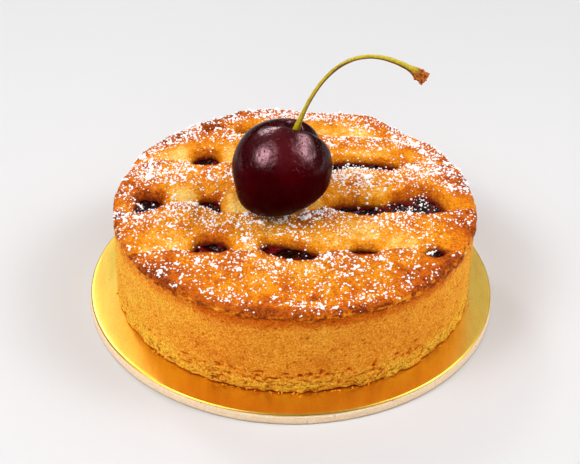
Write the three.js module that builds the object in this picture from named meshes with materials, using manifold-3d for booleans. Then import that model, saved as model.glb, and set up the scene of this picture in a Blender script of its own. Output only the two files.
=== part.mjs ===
// A small round cherry pie on the cake card it is sold on, in millimetres, +Z up.
// The origin is the middle of the card's underside, and -Y is the front of the pie.
import * as THREE from "three";
import { mergeVertices } from "three/addons/utils/BufferGeometryUtils.js";
import Module from "manifold-3d";

// Driving dimensions -------------------------------------------------------------------------

const CARD = { footRadius: 60, topRadius: 59.4, thickness: 3.3, edgeRound: 0.3, segments: 80 };

const PIE = { x: 0.5, y: 1.1 };

// The crust is a deep cup: a floor, a wall that leans out a little, a ledge that carries the
// lattice and a rounded lip around it.
const CRUST = {
  footRadius: 52.3,
  topRadius: 52.9,
  footRound: 0.7,
  lipRound: 1.7,
  lipHeight: 31.0,
  floorHeight: 8.3,
  wallThickness: 4.6,
  ledgeHeight: 28.9,
  segments: 72,
  lipUneven: 0.45,
  rearRise: 0.6,
};

// The opening that the lip leaves for the lattice, with a wider lip along the front.
const OPENING = { radius: 47.6, frontLip: 3.2, frontSpread: 0.42 };

const FILLING = { clearance: 0.3, level: 28.55, lumpHeight: 0.3, rings: 6, segments: 40 };

const CLEARANCE = 0.3;
const LATTICE_BED = FILLING.level + FILLING.lumpHeight + CLEARANCE;

// The rows between the strips that run from side to side, from the rear row to the front one.
// Each row is a shallow curve, y + slope x - bend x^2, and it is wider where the filling shows.
const ROWS = [
  { y: 38.5, slope: -0.065, bend: 0.0013, gap: 1.6, swell: 1.4, swellX: -20, swellWidth: 12 },
  { y: 21.5, slope: -0.016, bend: 0, gap: 2.2, swell: 2.2, swellX: 22, swellWidth: 14 },
  { y: -1.6, slope: 0.012, bend: 0, gap: 5.2, swell: 2.0, swellX: 34, swellWidth: 10 },
  { y: -22.9, slope: -0.004, bend: 0, gap: 3.2, swell: 4.4, swellX: 0, swellWidth: 10 },
];

// The strips that run from side to side and lie on top.
const OVER = {
  reachInside: 0.3,
  edgeHeight: 30.6,
  crown: 1.5,
  crownPower: 2.6,
  rise: 0.9,
  endSettle: 0.75,
  settleStart: 36,
  across: 6,
  along: 22,
  rearArcStart: 46,
  frontArcStart: -40.5,
};

// The strips that run from front to rear, underneath. Each is given by the middle of its run at
// the front row, the middle row and the rear row.
const UNDER = {
  edgeHeight: 29.7,
  crown: 0.8,
  across: 4,
  along: 14,
  rowY: { front: -23, middle: -1.5, rear: 21.5 },
  strips: [
    { front: -36, middle: -32, rear: -36.5, width: 11.5 },
    { front: -13, middle: -12.5, rear: -17, width: 11.5 },
    { front: 12, middle: 6.5, rear: 5, width: 9 },
    { front: 30.5, middle: 32, rear: 38, width: 12.5 },
  ],
};

const CHERRY = {
  radius: 13.9,
  heightRatio: 0.985,
  x: -2.83,
  y: -3.7,
  z: 45.85,
  tilt: 15,
  cavityDepth: 3.4,
  cavityRadius: 3.6,
  cavityBack: 1.0,
  shoulder: 0.35,
  segments: 30,
  rings: 16,
};

// The stem rises from the cherry's cavity, arches over to the right and ends in a woody knob.
const STEM = {
  y: -2.7,
  foot: { x: 0.5, z: 56.55 },
  footHandle: { x: 5.3, z: 73.4 },
  tipHandle: { x: 15.3, z: 92.2 },
  tip: { x: 37.4, z: 73.2 },
  sides: 8,
  steps: 26,
  footRadius: 1.15,
  middleRadius: 0.52,
  neckRadius: 1.0,
  knobRadius: 2.35,
  knobLength: 0.13,
};

const COLOURS = {
  crust: { color: 0xd8913f, roughness: 0.7, metalness: 0 },
  lattice: { color: 0xe6993f, roughness: 0.55, metalness: 0 },
  underLattice: { color: 0xf0bd62, roughness: 0.6, metalness: 0 },
  filling: { color: 0x33080a, roughness: 0.15, metalness: 0 },
  cherry: { color: 0x36050b, roughness: 0.15, metalness: 0 },
  stem: { color: 0xac9328, roughness: 0.5, metalness: 0 },
  card: { color: 0xd9a640, roughness: 0.3, metalness: 0.9 },
};

// Helpers ------------------------------------------------------------------------------------

const wasm = await Module();
wasm.setup();

const FRONT = -Math.PI / 2;

const bell = (distance, width) => Math.exp(-((distance / width) ** 2));
const mix = (low, high, share) => low + (high - low) * share;

// The angle between two directions, between 0 and pi.
function angleBetween(a, b) {
  const turn = Math.abs(a - b) % (2 * Math.PI);
  return Math.min(turn, 2 * Math.PI - turn);
}

// A three.js geometry with shared vertices and positions only.
function weld(geometry) {
  const bare = geometry.clone();
  bare.deleteAttribute("normal");
  bare.deleteAttribute("uv");
  return mergeVertices(bare, 1e-4);
}

// A geometry whose vertices are each moved by move(point), which changes the point in place.
function warp(geometry, move) {
  const welded = weld(geometry);
  const position = welded.getAttribute("position");
  const point = new THREE.Vector3();
  for (let i = 0; i < position.count; i += 1) {
    move(point.fromBufferAttribute(position, i));
    position.setXYZ(i, point.x, point.y, point.z);
  }
  return welded;
}

function solidOf(geometry) {
  const welded = weld(geometry);
  const vertProperties = new Float32Array(welded.getAttribute("position").array);
  const triVerts = new Uint32Array(welded.index.array);
  return new wasm.Manifold(new wasm.Mesh({ numProp: 3, vertProperties, triVerts }));
}

function geometryOf(solid) {
  const mesh = solid.getMesh();
  const geometry = new THREE.BufferGeometry();
  geometry.setAttribute("position", new THREE.BufferAttribute(mesh.vertProperties, 3));
  geometry.setIndex(new THREE.BufferAttribute(mesh.triVerts, 1));
  return geometry;
}

function cut(geometry, tools) {
  const left = tools.reduce((solid, tool) => solid.subtract(solidOf(tool)), solidOf(geometry));
  return geometryOf(left);
}

function place(parent, name, geometry, look) {
  geometry.computeVertexNormals();
  const mesh = new THREE.Mesh(geometry, new THREE.MeshStandardMaterial(look));
  mesh.name = name;
  parent.add(mesh);
}

// A lathe turned about +Z from [radius, height] pairs that run from the axis back to the axis.
function turned(pairs, segments) {
  const profile = pairs.map(([radius, height]) => new THREE.Vector2(radius, height));
  return new THREE.LatheGeometry(profile, segments).rotateX(Math.PI / 2);
}

// A quarter-round corner of a lathe profile, from one angle to the other about its centre.
function roundCorner(centreRadius, centreHeight, round, from, to, steps) {
  return Array.from({ length: steps + 1 }, (_, i) => {
    const angle = mix(from, to, i / steps);
    return [centreRadius + round * Math.cos(angle), centreHeight + round * Math.sin(angle)];
  });
}

// Cake card ----------------------------------------------------------------------------------

function cakeCard() {
  const { footRadius, topRadius, thickness, edgeRound, segments } = CARD;
  const pairs = [
    [0, 0],
    [footRadius, 0],
    [topRadius + edgeRound * 0.5, thickness - edgeRound],
    [topRadius, thickness],
    [0, thickness],
  ];
  return turned(pairs, segments);
}

// Pie ----------------------------------------------------------------------------------------

// How far the opening reaches from the middle of the pie in a direction.
function openingReach(angle) {
  return OPENING.radius - OPENING.frontLip * bell(angleBetween(angle, FRONT), OPENING.frontSpread);
}

// How far the baked lip stands above or below its mean height in a direction: it is highest at
// the rear.
function lipWave(angle) {
  const ripple = 0.5 * Math.sin(3 * angle + 1.1) + 0.3 * Math.sin(7 * angle + 0.4);
  const rear = 0.5 + 0.5 * Math.sin(angle);
  return CRUST.lipUneven * ripple + CRUST.rearRise * rear ** 3;
}

function crustShell() {
  const foot = CARD.thickness;
  const { footRadius, topRadius, footRound, lipRound, lipHeight, ledgeHeight } = CRUST;
  const pocket = OPENING.radius - OPENING.frontLip - CRUST.wallThickness * 0.35;
  const pairs = [
    [0, foot],
    ...roundCorner(footRadius - footRound, foot + footRound, footRound, FRONT, 0, 2),
    [mix(footRadius, topRadius, 0.5), mix(foot, lipHeight, 0.5)],
    ...roundCorner(topRadius - lipRound, lipHeight - lipRound, lipRound, 0, Math.PI / 2, 3),
    ...roundCorner(OPENING.radius + 0.9, lipHeight - 0.9, 0.9, Math.PI / 2, Math.PI, 2),
    [OPENING.radius, ledgeHeight],
    [pocket, ledgeHeight],
    [pocket - 1, CRUST.floorHeight],
    [0, CRUST.floorHeight],
  ];
  const lipEdge = OPENING.radius - 0.01;
  return warp(turned(pairs, CRUST.segments), (point) => {
    const angle = Math.atan2(point.y, point.x);
    const radius = Math.hypot(point.x, point.y);
    const isInnerLip = radius > lipEdge && radius < OPENING.radius + 1;
    const reach = isInnerLip ? (radius - OPENING.radius + openingReach(angle)) / radius : 1;
    const lift = point.z > ledgeHeight + 0.2 ? lipWave(angle) : 0;
    point.set(point.x * reach + PIE.x, point.y * reach + PIE.y, point.z + lift);
  });
}

function cherryFilling() {
  const { clearance, level, lumpHeight, rings, segments } = FILLING;
  const reach = OPENING.radius - OPENING.frontLip - CRUST.wallThickness * 0.35 - clearance;
  const floor = CRUST.floorHeight + clearance;
  const top = Array.from({ length: rings + 1 }, (_, i) => [reach * (1 - i / rings), level]);
  const pairs = [[0, floor], [reach - 1, floor], ...top];
  return warp(turned(pairs, segments), (point) => {
    const lumps = Math.sin(point.x * 0.42) * Math.cos(point.y * 0.37 + 0.6);
    const lift = point.z > level - 1 ? lumpHeight * lumps : 0;
    point.set(point.x + PIE.x, point.y + PIE.y, point.z + lift);
  });
}

// Lattice ------------------------------------------------------------------------------------

const rowLine = (row, x) => row.y + row.slope * x - row.bend * x * x;
const rowHalfGap = (row, x) => (row.gap + row.swell * bell(x - row.swellX, row.swellWidth)) / 2;

// The middle of an under strip at a place y of the plan: a parabola through its three places,
// and straight on past the front row and the rear row.
function underMiddle(strip, planY) {
  const { front, middle, rear } = UNDER.rowY;
  const y = THREE.MathUtils.clamp(planY, front, rear);
  const atFront = ((y - middle) * (y - rear)) / ((front - middle) * (front - rear));
  const atMiddle = ((y - front) * (y - rear)) / ((middle - front) * (middle - rear));
  const atRear = ((y - front) * (y - middle)) / ((rear - front) * (rear - middle));
  return strip.front * atFront + strip.middle * atMiddle + strip.rear * atRear;
}

// Where a straight line across the plan, at a distance from the pie's middle, meets the opening.
function meetOpening(distance, direction, along) {
  let run = 0;
  let angle = direction;
  for (let i = 0; i < 8; i += 1) {
    const reach = openingReach(angle) - OVER.reachInside;
    run = Math.sqrt(Math.max(reach * reach - distance * distance, 0));
    const [dx, dy] = along(run);
    angle = Math.atan2(dy, dx);
  }
  return run;
}

function latticeRise(x, y) {
  const share = UNDER.strips.map((strip) => bell(x - underMiddle(strip, y), strip.width * 0.75));
  return OVER.rise * Math.min(1, Math.max(...share));
}

// The curved outline that the rear and front strips share with the opening.
function arcY(x, side) {
  const run = meetOpening(x - PIE.x, side * (Math.PI / 2), (reach) => [x - PIE.x, side * reach]);
  return PIE.y + side * run;
}

// How much of its crown and rise a strip keeps at a place: they settle towards the lip.
function settled(x, y) {
  const radius = Math.hypot(x - PIE.x, y - PIE.y);
  return 1 - OVER.endSettle * THREE.MathUtils.smoothstep(radius, OVER.settleStart, OPENING.radius);
}

// One strip that runs from side to side, between the row in front of it and the row behind it.
// The front strip and the rear strip have the opening's own arc on their outer side.
function overStrip(frontRow, rearRow) {
  const base = new THREE.BoxGeometry(2, 2, 1, OVER.along, OVER.across, 1);
  const frontEdge = (x) => (frontRow ? rowLine(frontRow, x) + rowHalfGap(frontRow, x) : OVER.frontArcStart);
  const rearEdge = (x) => (rearRow ? rowLine(rearRow, x) - rowHalfGap(rearRow, x) : OVER.rearArcStart);
  const runAt = (share, side) => {
    let run = 0;
    for (let i = 0; i < 8; i += 1) {
      const x = PIE.x + side * run;
      const dy = mix(frontEdge(x), rearEdge(x), share) - PIE.y;
      run = meetOpening(dy, side > 0 ? 0 : Math.PI, (reach) => [side * reach, dy]);
    }
    return run;
  };
  return warp(base, (point) => {
    const share = (point.y + 1) / 2;
    const spaced = Math.sin((point.x * Math.PI) / 2) * 0.6 + point.x * 0.4;
    const x = PIE.x + spaced * runAt(share, point.x < 0 ? -1 : 1);
    const front = frontRow ? frontEdge(x) : Math.min(frontEdge(x), arcY(x, -1));
    const rear = rearRow ? rearEdge(x) : Math.max(rearEdge(x), arcY(x, 1));
    const y = mix(front, rear, share);
    const crown = OVER.crown * (1 - Math.abs(point.y) ** OVER.crownPower);
    const top = OVER.edgeHeight + (crown + latticeRise(x, y)) * settled(x, y);
    point.set(x, y, point.z > 0 ? top : LATTICE_BED);
    keepInOpening(point);
  });
}

// Draws a point back to the opening's edge when a row's curve has carried it past.
function keepInOpening(point) {
  const dx = point.x - PIE.x;
  const dy = point.y - PIE.y;
  const reach = openingReach(Math.atan2(dy, dx)) - OVER.reachInside;
  const share = Math.min(1, reach / Math.hypot(dx, dy));
  point.x = PIE.x + dx * share;
  point.y = PIE.y + dy * share;
}

// How far an under strip's line at an offset from its middle runs before it meets the opening.
function underRun(strip, offset, side) {
  let y = side * UNDER.rowY.rear;
  for (let i = 0; i < 8; i += 1) {
    const dx = underMiddle(strip, y) + offset - PIE.x;
    y = PIE.y + side * meetOpening(dx, side * (Math.PI / 2), (reach) => [dx, side * reach]);
  }
  return Math.abs(y - PIE.y);
}

// One strip that runs from front to rear, grown on every side by the clearance when it cuts.
function underStrip(strip, grow) {
  const base = new THREE.BoxGeometry(2, 2, 1, UNDER.across, UNDER.along, 1);
  return warp(base, (point) => {
    const offset = (point.x * strip.width) / 2;
    const side = Math.sign(point.y);
    const isEnd = Math.abs(point.y) === 1;
    const y = PIE.y + point.y * underRun(strip, offset, side || 1) + (isEnd ? side * grow : 0);
    const x = underMiddle(strip, y) + offset + point.x * grow;
    const top = UNDER.edgeHeight + UNDER.crown * (1 - point.x ** 2) + grow;
    point.set(x, y, point.z > 0 ? top : LATTICE_BED - grow * 2);
  });
}

// Cherry -------------------------------------------------------------------------------------

// The cherry about its own middle, its stem cavity at the top, leaning to the right.
function cherryBody(grow) {
  const { radius, heightRatio, cavityDepth, cavityRadius, cavityBack, segments, rings } = CHERRY;
  const pairs = Array.from({ length: rings + 1 }, (_, i) => {
    const latitude = mix(FRONT, Math.PI / 2, i / rings);
    const reach = i === 0 || i === rings ? 0 : (radius + grow) * Math.cos(latitude);
    return [reach, (radius + grow) * heightRatio * Math.sin(latitude)];
  });
  const tilt = new THREE.Matrix4().makeRotationY(THREE.MathUtils.degToRad(CHERRY.tilt));
  const shift = new THREE.Matrix4().makeTranslation(CHERRY.x, CHERRY.y, CHERRY.z);
  const shaped = warp(turned(pairs, segments), (point) => {
    const cheek = Math.max(0, point.z) / radius;
    const swell = 1 + (CHERRY.shoulder * cheek * (point.x * point.x - point.y * point.y)) / radius ** 3;
    const hollow = point.z > 0 ? bell(Math.hypot(point.x, point.y - cavityBack), cavityRadius) : 0;
    point.set(point.x * swell, point.y * swell, point.z - cavityDepth * hollow);
  });
  return shaped.applyMatrix4(tilt).applyMatrix4(shift);
}

// The stem's radius at a share of its length: flared at the foot, with a woody knob at the tip.
function stemRadius(share) {
  const foot = (STEM.footRadius - STEM.middleRadius) * bell(share, 0.09);
  const neck = (STEM.neckRadius - STEM.middleRadius) * THREE.MathUtils.smoothstep(share, 0.6, 0.86);
  const knobMiddle = 1 - STEM.knobLength / 2;
  const knob = (STEM.knobRadius - STEM.neckRadius) * bell(share - knobMiddle, STEM.knobLength / 2.6);
  return STEM.middleRadius + foot + neck + knob;
}

function cherryStem() {
  const at = ({ x, z }) => new THREE.Vector3(x, STEM.y, z);
  const path = new THREE.CubicBezierCurve3(
    at(STEM.foot),
    at(STEM.footHandle),
    at(STEM.tipHandle),
    at(STEM.tip),
  );
  const section = new THREE.Shape(
    Array.from({ length: STEM.sides }, (_, i) => {
      const angle = (i * 2 * Math.PI) / STEM.sides;
      return new THREE.Vector2(Math.cos(angle), Math.sin(angle));
    }),
  );
  const tube = new THREE.ExtrudeGeometry(section, { steps: STEM.steps, extrudePath: path });
  const stations = path.getSpacedPoints(STEM.steps);
  return warp(tube, (point) => {
    const distances = stations.map((station) => station.distanceTo(point));
    const step = distances.indexOf(Math.min(...distances));
    const station = stations[step];
    point.sub(station).multiplyScalar(stemRadius(step / STEM.steps)).add(station);
  });
}

// Assembly -----------------------------------------------------------------------------------

const cherryPie = new THREE.Group();
place(cherryPie, "cake_card", weld(cakeCard()), COLOURS.card);
place(cherryPie, "crust_shell", crustShell(), COLOURS.crust);
place(cherryPie, "cherry_filling", cherryFilling(), COLOURS.filling);

UNDER.strips.forEach((strip, i) => {
  place(cherryPie, `lattice_under_${i + 1}`, underStrip(strip, 0), COLOURS.underLattice);
});

const underCutters = UNDER.strips.map((strip) => underStrip(strip, CLEARANCE));
const cherrySeat = cherryBody(CLEARANCE);
const rowPairs = [null, ...ROWS].map((rear, i) => [ROWS[i] ?? null, rear]);
rowPairs.forEach(([front, rear], i) => {
  const strip = cut(overStrip(front, rear), [...underCutters, cherrySeat]);
  place(cherryPie, `lattice_over_${i + 1}`, strip, COLOURS.lattice);
});

place(cherryPie, "cherry", cherryBody(0), COLOURS.cherry);
place(cherryPie, "cherry_stem", cherryStem(), COLOURS.stem);

export default cherryPie;
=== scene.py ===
"""A small round cherry pie on its gold cake card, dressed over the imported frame.

Shapes are worked out in millimetres, +Z up, with -Y the front of the pie, and are turned into
metres when a mesh is made. Every uneven shape comes from seeded noise, so each run is the same.
"""

import logging
import math
from collections.abc import Sequence
from dataclasses import dataclass
from enum import Enum
from itertools import product

import bpy
import numpy as np
from mathutils import Matrix, Vector


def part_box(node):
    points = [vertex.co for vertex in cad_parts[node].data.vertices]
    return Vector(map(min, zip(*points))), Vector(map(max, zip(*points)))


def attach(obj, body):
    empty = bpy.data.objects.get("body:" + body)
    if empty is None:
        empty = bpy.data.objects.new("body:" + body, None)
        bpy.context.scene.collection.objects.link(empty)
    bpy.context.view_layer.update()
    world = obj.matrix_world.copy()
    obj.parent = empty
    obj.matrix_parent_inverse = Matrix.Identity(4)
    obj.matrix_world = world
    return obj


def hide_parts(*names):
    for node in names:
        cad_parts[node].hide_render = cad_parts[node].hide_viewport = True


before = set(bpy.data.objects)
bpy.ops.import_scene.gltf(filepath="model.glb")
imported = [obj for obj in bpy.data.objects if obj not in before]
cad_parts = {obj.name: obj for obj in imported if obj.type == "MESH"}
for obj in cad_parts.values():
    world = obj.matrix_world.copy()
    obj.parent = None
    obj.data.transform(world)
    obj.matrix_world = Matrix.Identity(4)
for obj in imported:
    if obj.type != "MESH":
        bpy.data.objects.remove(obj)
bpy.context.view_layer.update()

log = logging.getLogger("cherry_pie")

METRES = 0.001
BODY = "root"
# How far from the middle the noise round the rim is read, and how much narrower the foot is.
RIM_WALK = 52.0
WALL_TAPER = 0.55

Colour = tuple[float, float, float, float]
Point2 = tuple[float, float]
Point3 = tuple[float, float, float]
Curve = tuple[Point2, ...]
Array = np.ndarray
Material = bpy.types.Material
Piece = bpy.types.Object
Node = bpy.types.Node
Socket = bpy.types.NodeSocket
Value = Socket | float | Sequence[float] | None
Marks = dict[str, Array]
Slab = tuple[Array, Array, Array]


# Small maths


def smoothstep(low: float, high: float, value: Array) -> Array:
    """Eases from 0 to 1 as a value goes from low to high."""
    share = np.clip((value - low) / (high - low), 0.0, 1.0)
    return share * share * (3.0 - 2.0 * share)


def bell(distance: Array, width: float) -> Array:
    """A bell curve, 1 at no distance and about a third at the width."""
    return np.exp(-((distance / width) ** 2))


def mix(low: Array | float, high: Array | float, share: Array) -> Array:
    """Goes from low to high by a share from 0 to 1."""
    return low + (high - low) * share


def smooth_line(points: Sequence[Point2], at: Array) -> Array:
    """Reads a smooth curve that goes through given points.

    Args:
        points: places along the line and the value at each.
        at: the places to read.

    Returns:
        The curve's values there, held level past both ends.
    """
    xs, ys = (np.array(side, float) for side in zip(*points))
    slopes = np.gradient(ys, xs)
    spot = np.clip(at, xs[0], xs[-1])
    left = np.clip(np.searchsorted(xs, spot) - 1, 0, len(xs) - 2)
    span = xs[left + 1] - xs[left]
    t = (spot - xs[left]) / span
    rise, fall = t * t * (3 - 2 * t), t * (1 - t)
    bend = fall * ((1 - t) * slopes[left] - t * slopes[left + 1]) * span
    return mix(ys[left], ys[left + 1], rise) + bend


def stack_points(*parts: Array) -> Array:
    """Joins x, y and z values into an array of points."""
    return np.stack([np.ravel(part) for part in np.broadcast_arrays(*parts)], axis=1)


def full_turn(count: int) -> Array:
    """Evenly spaced angles once round a circle, in radians."""
    return np.linspace(0, 2 * math.pi, count, endpoint=False)


def circle(angle: Array, radius: Array | float, height: Array | float, middle: Point2 = (0, 0)) -> Array:
    """The points at these angles, distances and heights about an upright axis at the middle."""
    east, north = middle
    return stack_points(east + radius * np.cos(angle), north + radius * np.sin(angle), height)


@dataclass(frozen=True)
class Noise:
    """Smooth seeded noise in three dimensions, from about -1 to 1."""

    seed: int = 0

    def corner(self, cell: Array) -> Array:
        """Gives each whole-number corner its own value.

        Args:
            cell: the corners, three whole numbers each.

        Returns:
            A value from -1 to 1 for each corner.
        """
        mixed = cell[:, 0] * 374761393 + cell[:, 1] * 668265263 + cell[:, 2] * 1103515245
        mixed = (mixed + self.seed * 97531) & 0x7FFFFFFF
        mixed = ((mixed ^ (mixed >> 13)) * 1274126177) & 0x7FFFFFFF
        mixed = ((mixed ^ (mixed >> 15)) * 69069 + 12345) & 0x7FFFFFFF
        return ((mixed >> 7) & 0xFFFF) / 32767.5 - 1.0

    def at(self, points: Array, size: float) -> Array:
        """Reads the noise.

        Args:
            points: places in millimetres, one row each.
            size: how far apart its lumps are, in millimetres.

        Returns:
            The noise at each place.
        """
        scaled = points / size
        base = np.floor(scaled).astype(np.int64)
        part = scaled - base
        fade = part**3 * (part * (part * 6 - 15) + 10)
        total = np.zeros(len(points))
        for step in product((0, 1), repeat=3):
            weight = np.prod(np.where(step, fade, 1 - fade), axis=1)
            total += weight * self.corner(base + np.array(step))
        return total * 1.3

    def layers(self, points: Array, size: float, count: int = 3) -> Array:
        """Adds up noise of smaller and smaller sizes.

        Args:
            points: places in millimetres, one row each.
            size: the size of the largest lumps.
            count: how many sizes are added, each half of the one before.

        Returns:
            The layered noise at each place, from about -1 to 1.
        """
        weights = [0.55**k for k in range(count)]
        parts = (w * self.at(points + 37.1 * k, size / 2**k) for k, w in enumerate(weights))
        return sum(parts) / sum(weights)

    def lumps(self, points: Array, kinds: Sequence[Point2]) -> Array:
        """Adds up lumps, each kind given by how high and how far apart its lumps are."""
        return sum(height * self.at(points, size) for height, size in kinds)


# Meshes


def make_piece(
    name: str, points: Array, faces: Sequence[Array], marks: Marks | None = None, sharp: float | None = None
) -> Piece:
    """Makes one mesh object from points and faces.

    Args:
        name: the piece's name.
        points: its points in millimetres.
        faces: arrays of faces, each with a fixed number of corners.
        marks: named values at the points, which its material reads.
        sharp: the angle in degrees past which an edge stays crisp.

    Returns:
        The new object, at the origin.
    """
    mesh = bpy.data.meshes.new(name)
    corners = np.concatenate([f.ravel() for f in faces]).astype(np.int32)
    counts = np.concatenate([np.full(len(f), f.shape[1]) for f in faces])
    starts = np.concatenate([[0], np.cumsum(counts)[:-1]]).astype(np.int32)
    mesh.vertices.add(len(points))
    mesh.vertices.foreach_set("co", (points * METRES).astype(np.float32).ravel())
    mesh.loops.add(len(corners))
    mesh.loops.foreach_set("vertex_index", corners)
    mesh.polygons.add(len(counts))
    mesh.polygons.foreach_set("loop_start", starts)
    mesh.polygons.foreach_set("use_smooth", np.ones(len(counts), bool))
    for mark, values in (marks or {}).items():
        layer = mesh.attributes.new(mark, "FLOAT", "POINT")
        layer.data.foreach_set("value", np.clip(values, 0, 1).astype(np.float32).ravel())
    mesh.update(calc_edges=True)
    mesh.validate()
    if sharp is not None:
        mesh.set_sharp_from_angle(angle=math.radians(sharp))
    piece = bpy.data.objects.new(name, mesh)
    bpy.context.scene.collection.objects.link(piece)
    return piece


def ring_faces(rows: int, columns: int) -> Array:
    """Joins rows of points that each go once round into a band of four-sided faces.

    Args:
        rows: how many rings of points there are.
        columns: how many points each ring has.

    Returns:
        The faces, facing outwards when the rings climb and turn anticlockwise.
    """
    row, column = np.meshgrid(np.arange(rows - 1), np.arange(columns), indexing="ij")
    a = row * columns + column
    b = row * columns + (column + 1) % columns
    return np.stack([a, b, b + columns, a + columns], axis=-1).reshape(-1, 4)


def fan_faces(centre: int, start: int, columns: int, turned: bool) -> Array:
    """Closes a ring of points with triangles to one point.

    Args:
        centre: the number of the middle point.
        start: the number of the ring's first point.
        columns: how many points the ring has.
        turned: whether the triangles face down rather than up.

    Returns:
        The triangles.
    """
    here = start + np.arange(columns)
    after = start + (np.arange(columns) + 1) % columns
    pair = [after, here] if turned else [here, after]
    return np.stack([np.full(columns, centre), *pair], axis=1)


def tube_faces(rows: int, columns: int) -> list[Array]:
    """Joins rings of points into a tube closed by the two single points that follow them.

    Args:
        rows: how many rings there are.
        columns: how many points each ring has.

    Returns:
        The faces of the side, the lower end and the upper end.
    """
    total = rows * columns
    lower = fan_faces(total, 0, columns, True)
    upper = fan_faces(total + 1, total - columns, columns, False)
    return [ring_faces(rows, columns), lower, upper]


def cell_middles(*grids: Array) -> list[Array]:
    """The value in the middle of each cell of each grid."""
    return [0.25 * (g[:-1, :-1] + g[1:, :-1] + g[:-1, 1:] + g[1:, 1:]) for g in grids]


def slab(mask: Array, x: Array, y: Array, top: Array, bottom: Array) -> Slab:
    """Cuts a closed slab out of a grid of cells.

    Args:
        mask: which cells belong to the slab.
        x: the grid points' x.
        y: the grid points' y.
        top: the upper surface at each grid point.
        bottom: the lower surface at each grid point.

    Returns:
        The slab's points, its faces, and the grid numbers of its upper and lower points.
    """
    rows, columns = top.shape
    index = np.arange(rows * columns).reshape(rows, columns)
    below = index + rows * columns
    near, far = slice(0, -1), slice(1, None)
    a, b, c, d = (near, near), (near, far), (far, far), (far, near)
    faces = [np.stack([index[k][mask] for k in (a, b, c, d)], axis=1)]
    faces.append(np.stack([below[k][mask] for k in (d, c, b, a)], axis=1))
    padded = np.pad(mask, 1)
    sides = (
        (a, b, padded[:-2, 1:-1]),
        (b, c, padded[1:-1, 2:]),
        (c, d, padded[2:, 1:-1]),
        (d, a, padded[1:-1, :-2]),
    )
    for one, two, beyond in sides:
        edge = mask & ~beyond
        corners = (below[one], below[two], index[two], index[one])
        faces.append(np.stack([part[edge] for part in corners], axis=1))
    quads = np.concatenate(faces)
    used, renumbered = np.unique(quads, return_inverse=True)
    both = [np.concatenate([side.ravel(), side.ravel()]) for side in (x, y)]
    heights = np.concatenate([top.ravel(), bottom.ravel()])
    points = stack_points(both[0][used], both[1][used], heights[used])
    return points, renumbered.reshape(-1, 4), used % (rows * columns)


def settle(piece: Piece, material: Material, slot: str, *nodes: str) -> None:
    """Dresses a piece, ties it to the pie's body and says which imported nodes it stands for.

    Args:
        piece: the finished mesh object.
        material: its finish.
        slot: the record's material slot.
        nodes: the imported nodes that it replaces.
    """
    piece.data.materials.append(material)
    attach(piece, BODY)
    if nodes:
        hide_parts(*nodes)
    stands_for = ", ".join(nodes) or "nothing packed"
    log.info("%s: %d faces, slot %s, stands for %s", piece.name, len(piece.data.polygons), slot, stands_for)


# Shader nodes


def paint(red: int, green: int, blue: int) -> Colour:
    """Turns a paint colour written from 0 to 255 into the shader's linear light.

    Args:
        red: the red part.
        green: the green part.
        blue: the blue part.

    Returns:
        The linear colour, solid.
    """
    parts = [part / 255 for part in (red, green, blue)]
    linear = [p / 12.92 if p <= 0.04045 else ((p + 0.055) / 1.055) ** 2.4 for p in parts]
    return (*linear, 1.0)


def outputs(node: Node) -> dict[str, Socket]:
    """A node's outputs by name."""
    return {socket.name: socket for socket in node.outputs}


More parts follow.
